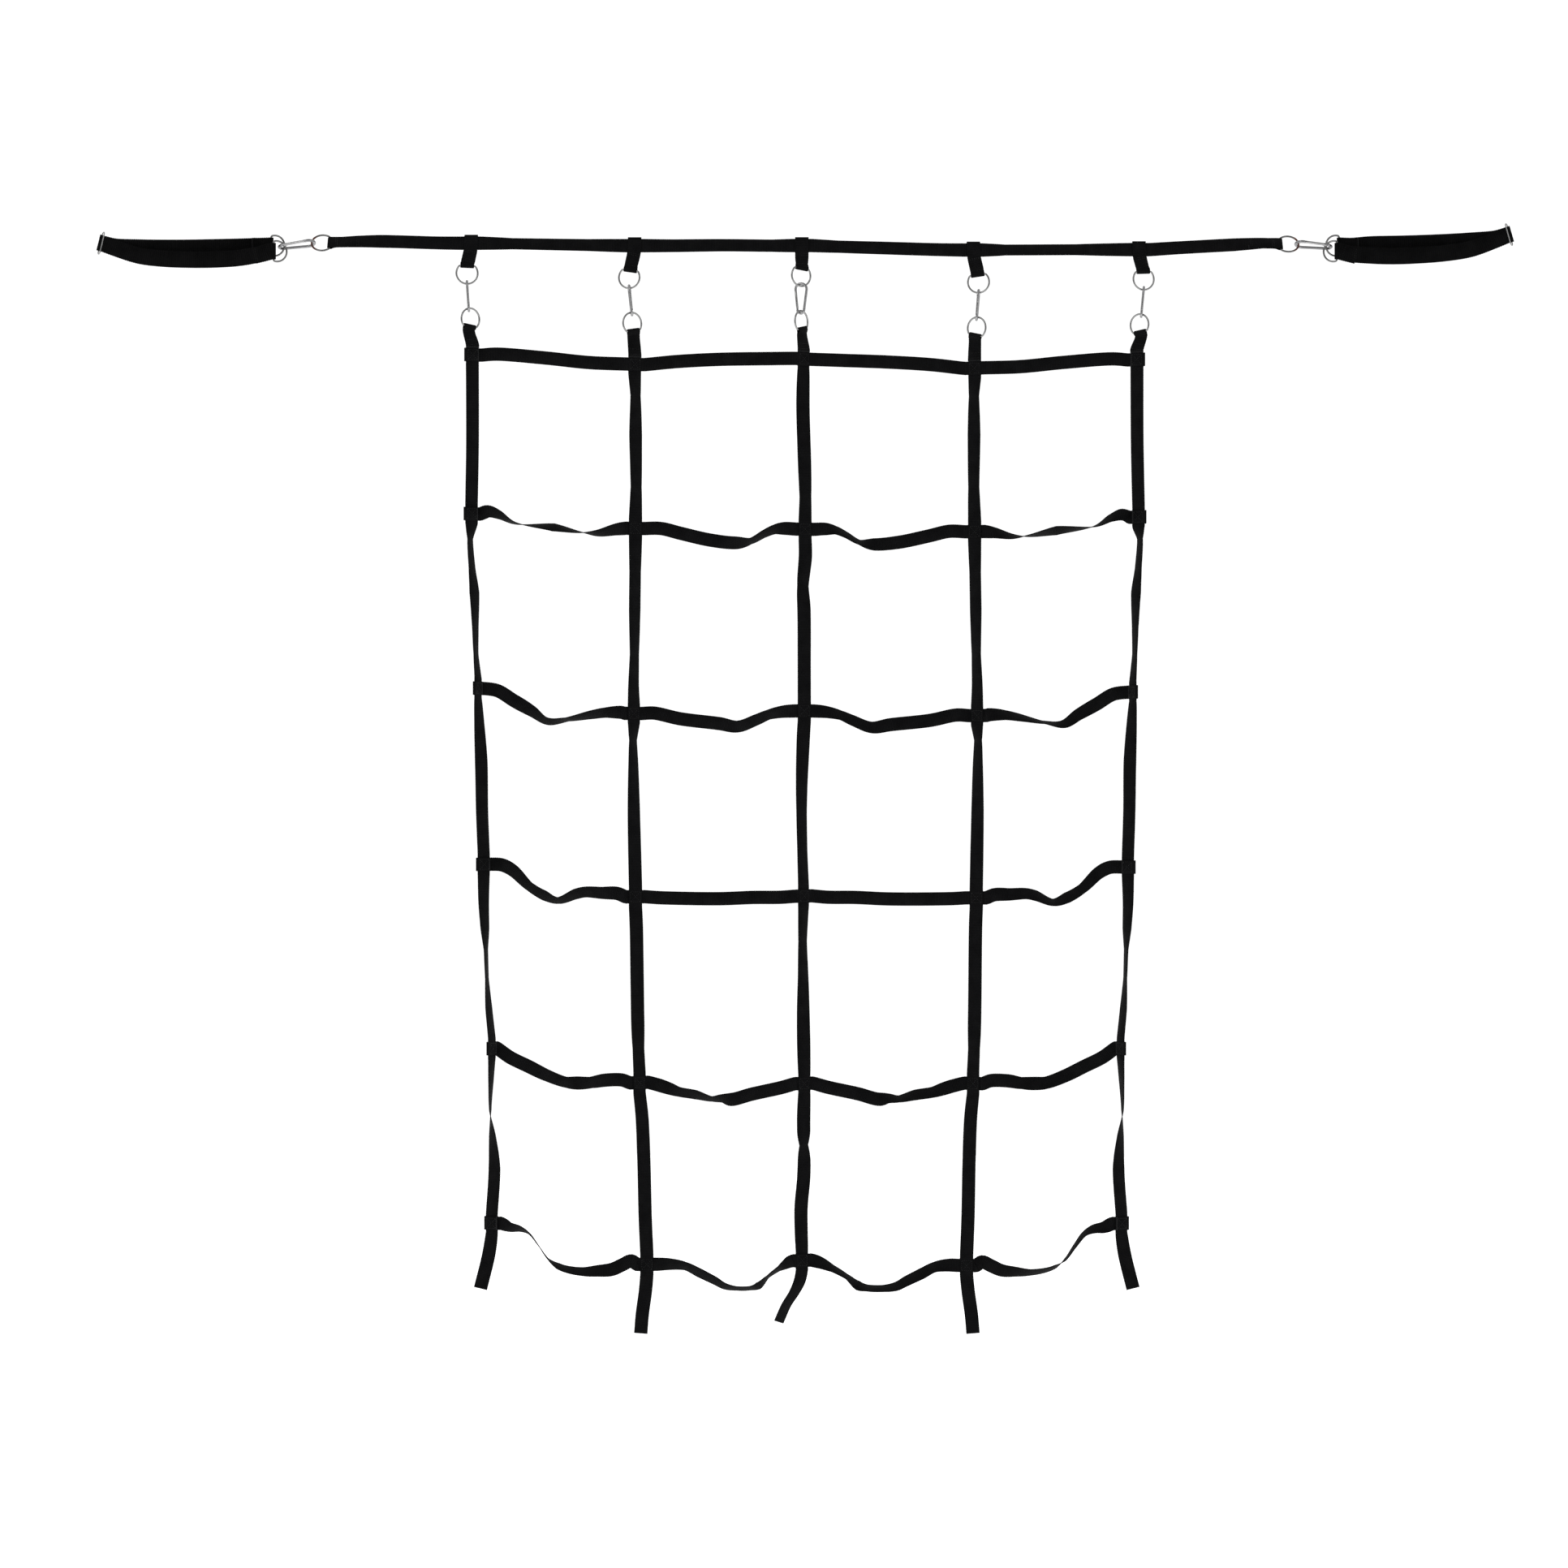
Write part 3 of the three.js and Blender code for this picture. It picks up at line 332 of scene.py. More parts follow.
# %% [markdown]
# Webbing is black polyester, woven with ribs across and yarns along it. Its shader works in the strap's own
# UV map, in metres, so the weave follows every twist: one wave makes the ribs, a second the yarns, and their
# mix drives a bump and is painted into the colour as well, lighter on the crowns and darker in the hollows,
# which is painted shade. Broad noise keeps the black from being flat, and cut ends, which are sealed with a
# hot knife, shine a little.

# %% Webbing material
NET_RIB = 3.1
ANCHOR_RIB = 3.7
SEAL_LENGTH = 2
SEALED = (0.022, 0.022, 0.023)
WEAVE = SimpleNamespace(yarn_share=0.6, level=0.62, bump=0.7)
FADING = SimpleNamespace(scale=45, detail=6)
CLOTH = SimpleNamespace(rough=0.86, smoother=0.2, sealed=0.3, gloss=0.045, sheen=0.006, sheen_rough=0.5)


def webbing_material(name, dark, light, rib, yarn, depth):
    rib, yarn, depth = rib * MM, yarn * MM, depth * MM
    material, tree, shader = new_material(name)
    uv = node(tree, "ShaderNodeUVMap", uv_map="strap")
    split = node(tree, "ShaderNodeSeparateXYZ")
    tree.links.new(uv.outputs["UV"], split.inputs[0])
    yarns = math_node(tree, "SINE", math_node(tree, "MULTIPLY", split.outputs[0], 2 * math.pi / yarn))
    shift = math_node(tree, "MULTIPLY", math_node(tree, "SIGN", yarns), math.pi / 2)
    ribs = math_node(tree, "MULTIPLY", split.outputs[1], math.pi / rib)
    ribs = math_node(tree, "ABSOLUTE", math_node(tree, "SINE", math_node(tree, "ADD", ribs, shift)))
    crowns = math_node(tree, "MULTIPLY", math_node(tree, "ABSOLUTE", yarns), WEAVE.yarn_share)
    weave = math_node(tree, "MULTIPLY", math_node(tree, "ADD", ribs, crowns), WEAVE.level)
    coordinates = node(tree, "ShaderNodeTexCoord")
    noise = node(tree, "ShaderNodeTexNoise")
    noise.inputs["Scale"].default_value = FADING.scale
    noise.inputs["Detail"].default_value = FADING.detail
    tree.links.new(coordinates.outputs["Object"], noise.inputs["Vector"])
    # The weave's height is painted into the colour: lighter on the crowns, darker in the hollows, as painted
    # shade of the ribs; the noise adds random tone.
    weave_shade_and_tone = math_node(tree, "MULTIPLY", weave, noise.outputs["Fac"])
    cloth = colour_mix(tree, weave_shade_and_tone, dark, light)
    from_end = node(tree, "ShaderNodeAttribute", attribute_name="from_end")
    sealed = node(tree, "ShaderNodeMapRange", interpolation_type="SMOOTHSTEP")
    for socket, value in (("From Min", 0), ("From Max", SEAL_LENGTH * MM), ("To Min", 1), ("To Max", 0)):
        sealed.inputs[socket].default_value = value
    tree.links.new(from_end.outputs["Fac"], sealed.inputs["Value"])
    sealed = sealed.outputs["Result"]
    tree.links.new(colour_mix(tree, sealed, cloth, SEALED), shader.inputs["Base Color"])
    smoother = math_node(tree, "MULTIPLY", noise.outputs["Fac"], CLOTH.smoother)
    rough = math_node(tree, "SUBTRACT", CLOTH.rough, smoother)
    rough = math_node(tree, "SUBTRACT", rough, math_node(tree, "MULTIPLY", sealed, CLOTH.sealed))
    tree.links.new(rough, shader.inputs["Roughness"])
    shader.inputs["Specular IOR Level"].default_value = CLOTH.gloss
    shader.inputs["Sheen Weight"].default_value = CLOTH.sheen
    shader.inputs["Sheen Roughness"].default_value = CLOTH.sheen_rough
    bump = node(tree, "ShaderNodeBump")
    bump.inputs["Strength"].default_value = WEAVE.bump
    bump.inputs["Distance"].default_value = depth
    tree.links.new(weave, bump.inputs["Height"])
    tree.links.new(bump.outputs["Normal"], shader.inputs["Normal"])
    return material


# The lighter colour goes on the weave's crowns and the darker in its hollows, as painted shade.
net_webbing = webbing_material(
    "net_webbing", (0.0014, 0.0014, 0.0016), (0.01, 0.01, 0.0106), NET_RIB, yarn=2.6, depth=0.4)
anchor_webbing = webbing_material(
    "anchor_webbing", (0.0007, 0.0007, 0.0007), (0.007, 0.007, 0.0074), ANCHOR_RIB, yarn=3, depth=0.5)
print("webbing finishes:", net_webbing.name, anchor_webbing.name)

# %% [markdown]
# The ribbon itself is a sweep: a thin outline with rounded edges is set across every station and joined to
# the next. Woven edges are scalloped, because the weft yarn turns back there at every rib, so the outline
# swells and shrinks four steps to a rib. The UV map holds the distance across and along the strap, and the
# from_end attribute how far the nearest cut end is.

# %% Ribbons
EDGE_ROUND = 0.7
EDGE_FLAT = 0.45  # the share of the thickness that stays square at an edge
POINTS_ACROSS = 3
STEPS_PER_RIB = 4
NET_SCALLOP = 0.35
ANCHOR_SCALLOP = 0.6
SCALLOP_START = 0.4
RIB_SWELL = 0.3  # how much of a scallop's growth shows in the thickness
CLOTH_CREASE = math.radians(40)


def select_only(piece):
    bpy.ops.object.select_all(action="DESELECT")
    piece.select_set(True)
    bpy.context.view_layer.objects.active = piece


def outline(web):
    w, t = web.wide / 2, web.thick / 2
    e = EDGE_FLAT * t
    across = np.linspace(-w + EDGE_ROUND, w - EDGE_ROUND, POINTS_ACROSS)
    lower = [(s, -t) for s in across]
    upper = [(s, t) for s in across[::-1]]
    return np.array([*lower, (w, -e), (w, e), *upper, (-w, e), (-w, -e)])


print("points round a strap's outline:", len(outline(WEB)))


def ribbon(name, knots, web, material, rib=NET_RIB, scallop=NET_SCALLOP):
    line = stations(knots, rib / STEPS_PER_RIB)
    at, side, rise = (np.array([getattr(s, key) for s in line]) for key in ("at", "side", "rise"))
    run = np.concatenate([[0], np.cumsum(np.linalg.norm(np.diff(at, axis=0), axis=1))])
    shape = outline(web)
    grow = scallop * np.sin(np.arange(len(line)) * 2 * math.pi / STEPS_PER_RIB + SCALLOP_START)
    across = shape[None, :, 0] * (1 + grow[:, None] / web.wide)
    lift = shape[None, :, 1] * (1 + grow[:, None] / web.thick * RIB_SWELL)
    points = at[:, None] + across[..., None] * side[:, None] + lift[..., None] * rise[:, None]
    count, around = across.shape
    first = (np.arange(count - 1)[:, None] * around + np.arange(around)[None]).ravel()
    after = (np.arange(count - 1)[:, None] * around + (np.arange(around)[None] + 1) % around).ravel()
    quads = np.stack([first, first + around, after + around, after], axis=1)
    caps = [tuple(range(around)), tuple(range((count - 1) * around, count * around))[::-1]]
    mesh = bpy.data.meshes.new(name)
    mesh.from_pydata((points.reshape(-1, 3) * MM).tolist(), [], [*map(tuple, quads.tolist()), *caps])
    loops = np.array([loop.vertex_index for loop in mesh.loops])
    sideways, lengthways = (np.broadcast_to(values, across.shape) for values in (shape[:, 0], run[:, None]))
    places = np.stack([sideways, lengthways], -1)
    uv_map = mesh.uv_layers.new(name="strap")
    uv_map.data.foreach_set("uv", (places.reshape(-1, 2)[loops] * MM).ravel())
    from_end = mesh.attributes.new("from_end", "FLOAT", "POINT")
    from_end.data.foreach_set("value", np.repeat(np.minimum(run, run[-1] - run) * MM, around))
    piece = bpy.data.objects.new(name, mesh)
    bpy.context.collection.objects.link(piece)
    select_only(piece)
    bpy.ops.object.mode_set(mode="EDIT")
    bpy.ops.mesh.select_all(action="SELECT")
    bpy.ops.mesh.normals_make_consistent(inside=False)
    bpy.ops.object.mode_set(mode="OBJECT")
    bpy.ops.object.shade_smooth_by_angle(angle=CLOTH_CREASE)
    mesh.materials.append(material)
    piece["length"] = float(run[-1] * MM)
    return piece


def place_strap(piece, node_name):
    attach(piece, "net")
    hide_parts(node_name)
    print(piece.name, "webbing length, m:", round(piece["length"], 3))


# %% [markdown]
# The header carries everything. It is pulled flat where the tabs hug it and tips back a little between them,
# and each end is folded round a ring's bar and sewn to its own back.

# %% Header strap
def header_tilt(tilt):
    return Vector((0, math.sin(math.radians(tilt)), math.cos(math.radians(tilt))))


def header_end(row, hand):
    wide = header_tilt(row.tilt)
    back = Vector((0, wide.z, -wide.y))
    fold = fold_radius(RING, WEB)
    bar = Vector((hand * (HALF_HEADER - fold - WEB.thick / 2), 0, row.z)) + back * fold
    middle = Vector((bar.x, 0, row.z))
    inward = Vector((-hand, 0, 0))
    lap = [(middle + inward * away + back * LAYER * rise, wide) for away, rise in (
        (HEADER_FOLD.lap, 1), (HEADER_FOLD.lap / 2, 1), (HEADER_FOLD.lead, HEADER_FOLD.spread))]
    knots = [*lap, *round_bar(bar, back, -inward, fold, wide), (middle + inward * HEADER_FOLD.flat, wide)]
    return SimpleNamespace(hand=hand, bar=bar, wide=wide, knots=knots)


header_ends = [header_end(HEADER[0], -1), header_end(HEADER[-1], 1)]
header_rows = [(row.x, row.z, row.tilt) for row in HEADER[1:-1]]
header_rows += [(row.x + step, row.z, 0) for row in HANGERS for step in FLAT]
header_knots = [(Vector((x, 0, z)), header_tilt(tilt)) for x, z, tilt in sorted(header_rows)]
header_knots = [*header_ends[0].knots, *header_knots, *header_ends[1].knots[::-1]]
header = ribbon("header_strap_web", header_knots, WEB, net_webbing)
place_strap(header, "header_strap")

# %% [markdown]
# The chain under each tab is worked out from the top down, as gravity does it: the ring's bar lies in the
# tab's fold, the hook hangs at the ring's lowest point, and the lower ring hangs in the hook's narrow end.

# %% Hanger places
def hook_plan(hook):
    seat = hook.wire + LINK_PLAY + RING.wire
    wide_z = seat - hook.wide
    narrow_z = wide_z - (hook.long - 2 * hook.wire - hook.wide - hook.narrow)
    lean = math.asin((hook.wide - hook.narrow) / (wide_z - narrow_z))

    def side(radius, z):
        return Vector((-radius * math.cos(lean), 0, z - radius * math.sin(lean)))

    low, high = side(hook.narrow, narrow_z), side(hook.wide, wide_z)
    along = (high - low).normalized()
    shoulder = GATE.heel + hook.wire - GATE.thin + HOOK_ENDS.heel_room
    nose_at = (high - low).length - HOOK_ENDS.nose_short
    return SimpleNamespace(
        wide_z=wide_z, narrow_z=narrow_z, lean=lean, low=low, high=high, along=along,
        pivot=low + along * shoulder, nose_at=nose_at, link=narrow_z - (hook.narrow - seat),
        gate_long=nose_at - shoulder - GATE.slip)


def bar_for(ring, link, out, wide, aim):
    aim = math.radians(aim)
    return link - out * (ring.radius * math.cos(aim) + ring.rise) - wide * ring.radius * math.sin(aim)


def hanger_places(row):
    wide = heading(row.ring_turn, row.ring_roll)
    rise = square(UP, wide)
    bar = Vector((row.x + row.lean, 0, row.z - row.drop + WEB.thick / 2 + fold_radius(RING, WEB)))
    link = bar - rise * RING.rise - UP * RING.radius
    sway = math.radians(row.sway)
    up = Vector((-math.sin(sway), 0, math.cos(sway)))
    low_wide = heading(row.low_turn, row.low_roll)
    low_rise = square(UP, low_wide)
    low_bar = bar_for(RING, link + up * hook_plan(HOOK).link, low_rise, low_wide, row.low_aim)
    return SimpleNamespace(
        bar=bar, wide=wide, rise=rise, link=link, up=up,
        low_bar=low_bar, low_wide=low_wide, low_rise=low_rise)


hangers = [hanger_places(row) for row in HANGERS]
print("lower bars, mm below the header:", [round(-hanger.low_bar.z) for hanger in hangers])

# %% [markdown]
# A tab is one strip wound like a spiral: it starts behind the header, goes over its top, comes down the
# front, turns round the ring's bar and climbs its own back, where it is sewn.

# %% Hanger tabs
def tab_knots(row, hanger):
    bar, wide = hanger.bar, hanger.wide
    flat = Vector((1, 0, 0))
    front = wide.cross(UP).normalized()
    low, high = row.z - WEB.wide / 2, row.z + WEB.wide / 2 + CLEARANCE
    start = bar.z + TAB.start

    def knot(height, back):
        x = row.x + row.lean * smoothstep(row.z - height, 0, row.drop)
        share = min(1, max(0, (low - height) / (low - start)))
        return Vector((x, back, height)), lerp(flat, wide, share).normalized()

    return [
        knot(start, LAYER), knot(start + TAB.second, LAYER), knot(low, LAYER),
        *round_bar(Vector((row.x, 0, high)), Vector((0, 1, 0)), UP, LAYER, flat),
        knot(low, -LAYER), knot(bar.z + TAB.near, -LAYER),
        *round_bar(bar, front, -hanger.rise, fold_radius(RING, WEB), wide),
        knot(bar.z + TAB.near, 2 * LAYER + TAB.spread), knot(start + TAB.lap, 2 * LAYER),
    ]


for number, (row, hanger) in enumerate(zip(HANGERS, hangers), 1):
    tab = ribbon(f"hanger_tab_{number}_web", tab_knots(row, hanger), WEB, net_webbing)
    place_strap(tab, f"hanger_tab_{number}")

# %% [markdown]
# A rail starts at its cut end on the front, goes up over the ring's bar and hangs down through every
# crossing to a free tail. The doubled part at the top is the main layer moved forwards by a webbing's
# thickness, and a little more where it rounds the bar. The right half of the net mirrors the left, hangs a
# little lower and swings out towards its tails.

# %% Rails
FLAP_STEP = 10


def changed(row, **changes):
    return SimpleNamespace(**{**vars(row), **changes})


def mirrored(row, lag=0):
    swing = RIGHT_SWING.share * (row.down - RIGHT_SWING.start)
    return changed(row, x=swing - row.x, turn=-row.turn, down=row.down + lag)


def right_half(left):
    return [mirrored(row, row.lag) for row in (left[1], left[0])]


crossings_of = [[*left, *right_half(left)] for left in CROSSINGS]
rails = [*RAILS, *([mirrored(row) for row in rows] for rows in (RAILS[1], RAILS[0]))]


def rail_knots(rows, crossings, hanger):
    bar, wide, plumb = hanger.low_bar, hanger.low_wide, hanger.low_rise
    fold = fold_radius(RING, WEB)
    front = wide.cross(plumb)
    back_top = bar - front * fold
    main = [(back_top - plumb * down, wide) for down in (0, FOLD_LEAD, RAIL_LEAD)]
    stops = [changed(row, down=row.down + step) for row in crossings for step in FLAT]
    for row in sorted([*rows, *stops], key=lambda row: row.down):
        main.append((Vector((row.x, 0, -row.down)), heading(row.turn)))
    flap_end = crossings[0].down + FLAT[1] + CLEARANCE
    flap = []
    for station in stations(main, FLAP_STEP):
        if -station.at.z < flap_end:
            away = station.rise if station.rise.y < 0 else -station.rise
            sink = smoothstep(bar.z - station.at.z, FOLD_LEAD, RAIL_LEAD + FOLD_LEAD)
            flap.append((station.at + away * lerp(2 * fold, LAYER, sink), station.side))
    loop = round_bar(bar, front, plumb, fold, wide)[2:-2]
    return [*flap[::-1], *loop, *main]


for number, (rows, hanger) in enumerate(zip(rails, hangers), 1):
    crossings = [row[number - 1] for row in crossings_of]
    rail = ribbon(f"rail_{number}_web", rail_knots(rows, crossings, hanger), WEB, net_webbing)
    place_strap(rail, f"rail_{number}")

# %% [markdown]
# A rung is wrapped round the outer rail at each end, its cut end sewn down on the front. It keeps to the
# rail's own plane at a crossing, in front of it or behind, and sags and twists freely in each bay.

# %% Rungs
RAIL_EDGE = WEB.wide / 2 + CLEARANCE


def folded_turn(turn):
    return turn - 180 if turn > 90 else turn + 180 if turn < -90 else turn


def on_crossing(row, u, n=None):
    line = heading(folded_turn(row.turn))
    front = Vector((line.y, -line.x, 0))
    return Vector((row.x, 0, -row.down)) + line * u + front * (row.side * LAYER if n is None else n)


def wrap_places(row, hand):
    along_front = (WRAP.end - RAIL_EDGE, RAIL_EDGE - WRAP.lead, RAIL_EDGE - WRAP.end)
    inner = [on_crossing(row, hand * u, LAYER) for u in along_front]
    around = [on_crossing(row, hand * (RAIL_EDGE + LAYER * math.sin(a)), LAYER * math.cos(a))
              for a in HALF_TURN]
    behind = [on_crossing(row, hand * (RAIL_EDGE - u), -LAYER) for u in (WRAP.end, WRAP.lead)]
    return [*inner, *around, *behind]


def bay_places(a, b, rows):
    slope_a, slope_b = (SWAY * math.tan(math.radians(folded_turn(row.turn))) for row in (a, b))
    for row in rows:
        back = (b.x - a.x) * row.at * (1 - row.at) * ((1 - row.at) * slope_a - row.at * slope_b)
        place = Vector((lerp(a.x, b.x, row.at), back, -lerp(a.down, b.down, row.at) - row.drop))
        yield place, row.turn


def mirrored_bay(rows, outwards=0):
    return [changed(row, at=1 - row.at + outwards * row.at * (1 - row.at), turn=-row.turn)
            for row in rows[::-1]]


def rung_knots(outer, inner, crossings, twisted, outwards):
    bays = [outer, inner, mirrored_bay(inner, outwards), mirrored_bay(outer)]
    last = len(crossings) - 1
    places = [(at, 0) for at in wrap_places(crossings[0], -1)]
    for i, row in enumerate(crossings):
        turn = 180 if twisted and 0 < i < last else 0
        steps = FLAT[2:] if i == 0 else FLAT[:2] if i == last else FLAT
        places += [(on_crossing(row, u), turn) for u in steps]
        if i < last:
            places += bay_places(row, crossings[i + 1], bays[i])
    places += [(at, 0) for at in wrap_places(crossings[last], 1)[::-1]]
    knots = []
    for i, (at, turn) in enumerate(places):
        ahead = (places[min(i + 1, len(places) - 1)][0] - places[max(i - 1, 0)][0]).normalized()
        knots.append((at, Matrix.Rotation(math.radians(turn), 3, ahead) @ square(UP, ahead)))
    return knots


for number, ((outer, inner), crossings) in enumerate(zip(RUNGS, crossings_of), 1):
    knots = rung_knots(outer, inner, crossings, number in HALF_TWISTED, RIGHT_OUTWARDS.get(number, 0))
    rung = ribbon(f"rung_{number}_web", knots, WEB, net_webbing)
    place_strap(rung, f"rung_{number}")

# %% [markdown]
# Each end is one more chain: header ring, long hook, two anchor rings side by side in its narrow end, and the
# anchor strap folded double between them. The strap's webbing is wider and coarser, so its ribs are real.

# %% Ends and anchor straps
def end_places(end):
    hand, inward = end.hand, Vector((-end.hand, 0, 0))
    link = end.bar - inward * (RING.rise + RING.radius)
    reach = -hook_plan(END_HOOK).narrow_z - END_LINK.ahead
    lift = math.asin((link.z - END_LINK.z) / reach)
    up = Vector((-hand * math.cos(lift), 0, math.sin(lift)))
    roll = math.radians(END_LINK.roll)
    across = Vector((0, -math.sin(roll), math.cos(roll)))
    layers = []
    for row in ANCHOR_RINGS:
        turn = math.radians(row.turn)
        out = Vector((-hand * math.cos(turn), -row.way * math.sin(turn), 0))
        hung = link - up * reach - across * row.way * END_LINK.apart + inward * row.nearer
        bar = bar_for(ANCHOR_RING, hung, out, UP, row.aim)
        away = Vector((hand, 0, -row.dip))
        layers.append(SimpleNamespace(name=row.name, way=row.way, out=out, bar=bar, away=away))
    rise = ANCHOR_RISE.right if hand > 0 else ANCHOR_RISE.left
    runs = {name: [changed(row, z=row.z + rise * (row.out - ANCHOR_RISE.start)) for row in rows]
            for name, rows in ANCHOR_RUNS.items()}
    near, middle, far = runs["back"][-3:]
    slope = Vector((hand * (far.out - near.out), 0, far.z - near.z)).normalized()
    leaning = Vector((-hand * slope.z, 0, hand * slope.x))
    keeper_at = Vector((hand * middle.out, 0, middle.z)) + slope * KEEPER.beyond
    return SimpleNamespace(
        hand=hand, inward=inward, link=link, up=up, across=across, layers=layers, slope=slope,
        leaning=leaning, keeper_at=keeper_at, runs=runs)


def anchor_knots(place):
    fold = fold_radius(ANCHOR_RING, ANCHOR_WEB)
    near, far = place.runs["back"][-3], place.runs["back"][-1]
    strands = []
    for layer in place.layers:
        outer = Vector((0, layer.way, 0))
        lap = [(layer.bar + layer.away * u + outer * (fold - ANCHOR_LAYER), UP) for u in ANCHOR_LAP]
        strand = [*lap, *round_bar(layer.bar, -outer, place.inward, fold, UP)]
        strand.append((layer.bar + layer.away * ANCHOR_LAP[1] + outer * fold, UP))
        for row in place.runs[layer.name]:
            share = smoothstep(row.out, FAR_FOLD.lean_from, near.out)
            at = Vector((place.hand * row.out, row.back, row.z))
            strand.append((at, lerp(UP, place.leaning, share).normalized()))
        strands.append(strand)
    tip = Vector((place.hand * (far.out + FAR_FOLD.tip), 0, far.z + FAR_FOLD.rise)), place.leaning
    return [*strands[0], tip, *strands[1][::-1]]


ends = {"left": end_places(header_ends[0]), "right": end_places(header_ends[1])}
for side, place in ends.items():
    name = f"anchor_strap_{side}_web"
    strap = ribbon(name, anchor_knots(place), ANCHOR_WEB, anchor_webbing, ANCHOR_RIB, ANCHOR_SCALLOP)
    place_strap(strap, f"anchor_strap_{side}")

# %% [markdown]
# The steel is zinc-plated wire: grey, satin, a little cloudy, with fine drawing lines. A cell pattern stands
# for the zinc's crystals and changes the roughness, and a fine noise bumps the surface for the scratches;
# neither changes the colour, which is how real plating shows. The fittings at the ends are glossier and
# darker, and the two header rings are rubbed brown where the long hooks hang in them, so their colour turns
# by the distance from the net's middle.

# %% Steel material
CLOUD = SimpleNamespace(scale=160, detail=8, shade=0.62)
CELL_SCALE = 420
SCRATCH = SimpleNamespace(scale=2600, bump=0.25, depth=0.1)
ROUGH = SimpleNamespace(spread=0.18, middle=0.12)
STAIN = SimpleNamespace(start=0.899, full=0.909, colour=(0.115, 0.05, 0.036))


def stained(tree, coordinates, colour):
    place = node(tree, "ShaderNodeSeparateXYZ")
    tree.links.new(coordinates.outputs["Object"], place.inputs["Vector"])
    share = node(tree, "ShaderNodeMapRange", interpolation_type="SMOOTHSTEP")
    share.inputs["From Min"].default_value = STAIN.start
    share.inputs["From Max"].default_value = STAIN.full
    tree.links.new(math_node(tree, "ABSOLUTE", place.outputs["X"]), share.inputs["Value"])
    return colour_mix(tree, share.outputs["Result"], colour, STAIN.colour)


def steel_material(name, colour, rough, rubbed=False):
    material, tree, shader = new_material(name)
    coordinates = node(tree, "ShaderNodeTexCoord")
    cells = node(tree, "ShaderNodeTexVoronoi")
    cells.inputs["Scale"].default_value = CELL_SCALE
    cloud = node(tree, "ShaderNodeTexNoise")
    cloud.inputs["Scale"].default_value = CLOUD.scale
    cloud.inputs["Detail"].default_value = CLOUD.detail
    scratches = node(tree, "ShaderNodeTexNoise")
    scratches.inputs["Scale"].default_value = SCRATCH.scale
    for texture in (cells, cloud, scratches):
        tree.links.new(coordinates.outputs["Object"], texture.inputs["Vector"])
    darker = tuple(CLOUD.shade * value for value in colour)
    plating = colour_mix(tree, cloud.outputs["Fac"], darker, colour)
    if rubbed:
        plating = stained(tree, coordinates, plating)
    tree.links.new(plating, shader.inputs["Base Color"])
    shader.inputs["Metallic"].default_value = 1
    spread = math_node(tree, "ADD", cells.outputs["Distance"], cloud.outputs["Fac"])
    spread = math_node(tree, "MULTIPLY", spread, ROUGH.spread)
    tree.links.new(math_node(tree, "ADD", spread, rough - ROUGH.middle), shader.inputs["Roughness"])
    bump = node(tree, "ShaderNodeBump")
    bump.inputs["Strength"].default_value = SCRATCH.bump
    bump.inputs["Distance"].default_value = SCRATCH.depth * MM
    tree.links.new(scratches.outputs["Fac"], bump.inputs["Height"])
    tree.links.new(bump.outputs["Normal"], shader.inputs["Normal"])
    return material


ring_steel = steel_material("ring_wire", (0.38, 0.38, 0.378), 0.26)
header_ring_steel = steel_material("header_ring_wire", (0.21, 0.21, 0.208), 0.2, rubbed=True)
anchor_ring_steel = steel_material("anchor_ring_wire", (0.27, 0.27, 0.268), 0.2)
hook_steel = steel_material("hook_wire", (0.43, 0.43, 0.435), 0.27)
end_hook_steel = steel_material("end_hook_wire", (0.33, 0.33, 0.335), 0.2)
gate_steel = steel_material("gate_bar", (0.45, 0.45, 0.45), 0.26)
keeper_steel = steel_material("keeper_wire", (0.44, 0.44, 0.435), 0.25)
finishes = [material.name for material in bpy.data.materials if material.name.endswith(("wire", "bar"))]
print("steel finishes:", finishes)

# %% [markdown]
# Wire is bent the way a bending machine does it. A small circle is the wire's section; extrude carries it
# along a straight stretch and spin swings it round a bend's centre. A ring comes back to where it began and
# is welded there by merging, and an open wire gets its two ends filled.

# %% Bending wire
WIRE_SIDES = 14
JOIN_GAP = 0.02
WIRE_CREASE = math.radians(50)


def bend_wire(name, radius, start, moves, closed):
    bpy.ops.object.select_all(action="DESELECT")
    bpy.ops.mesh.primitive_circle_add(
        vertices=WIRE_SIDES, radius=radius * MM, location=start * MM, rotation=(0, 0, 0))
    piece = bpy.context.object
    piece.name = name
    bpy.ops.object.transform_apply(location=True, rotation=True, scale=True)
    first_heading = moves[0]["heading"]
    turn = Matrix.Rotation(math.atan2(first_heading.x, first_heading.z), 4, "Y")
    place = Matrix.Translation(start * MM)
    piece.data.transform(place @ turn @ place.inverted())
    bpy.ops.object.mode_set(mode="EDIT")
    bpy.ops.mesh.select_all(action="SELECT")
    for move in moves:
        if "line" in move:
            shift = {"value": move["line"] * MM}
            bpy.ops.mesh.extrude_region_move(TRANSFORM_OT_translate=shift)
        else:
            bpy.ops.mesh.spin(
                steps=move["steps"], angle=-math.radians(move["angle"]),
                center=move["centre"] * MM, axis=(0, 1, 0))
    bpy.ops.mesh.select_all(action="SELECT")
    bpy.ops.mesh.remove_doubles(threshold=JOIN_GAP * MM)
    if not closed:
        bpy.ops.mesh.fill_holes(sides=0)
    bpy.ops.mesh.normals_make_consistent(inside=False)
    bpy.ops.object.mode_set(mode="OBJECT")
    bpy.ops.object.shade_smooth_by_angle(angle=WIRE_CREASE)
    return piece


def line_to(vector):
    return {"line": vector, "heading": vector.normalized()}


def arc(centre, angle, steps):
    return {"centre": centre, "angle": angle, "steps": steps}


print("sides of a wire:", WIRE_SIDES)
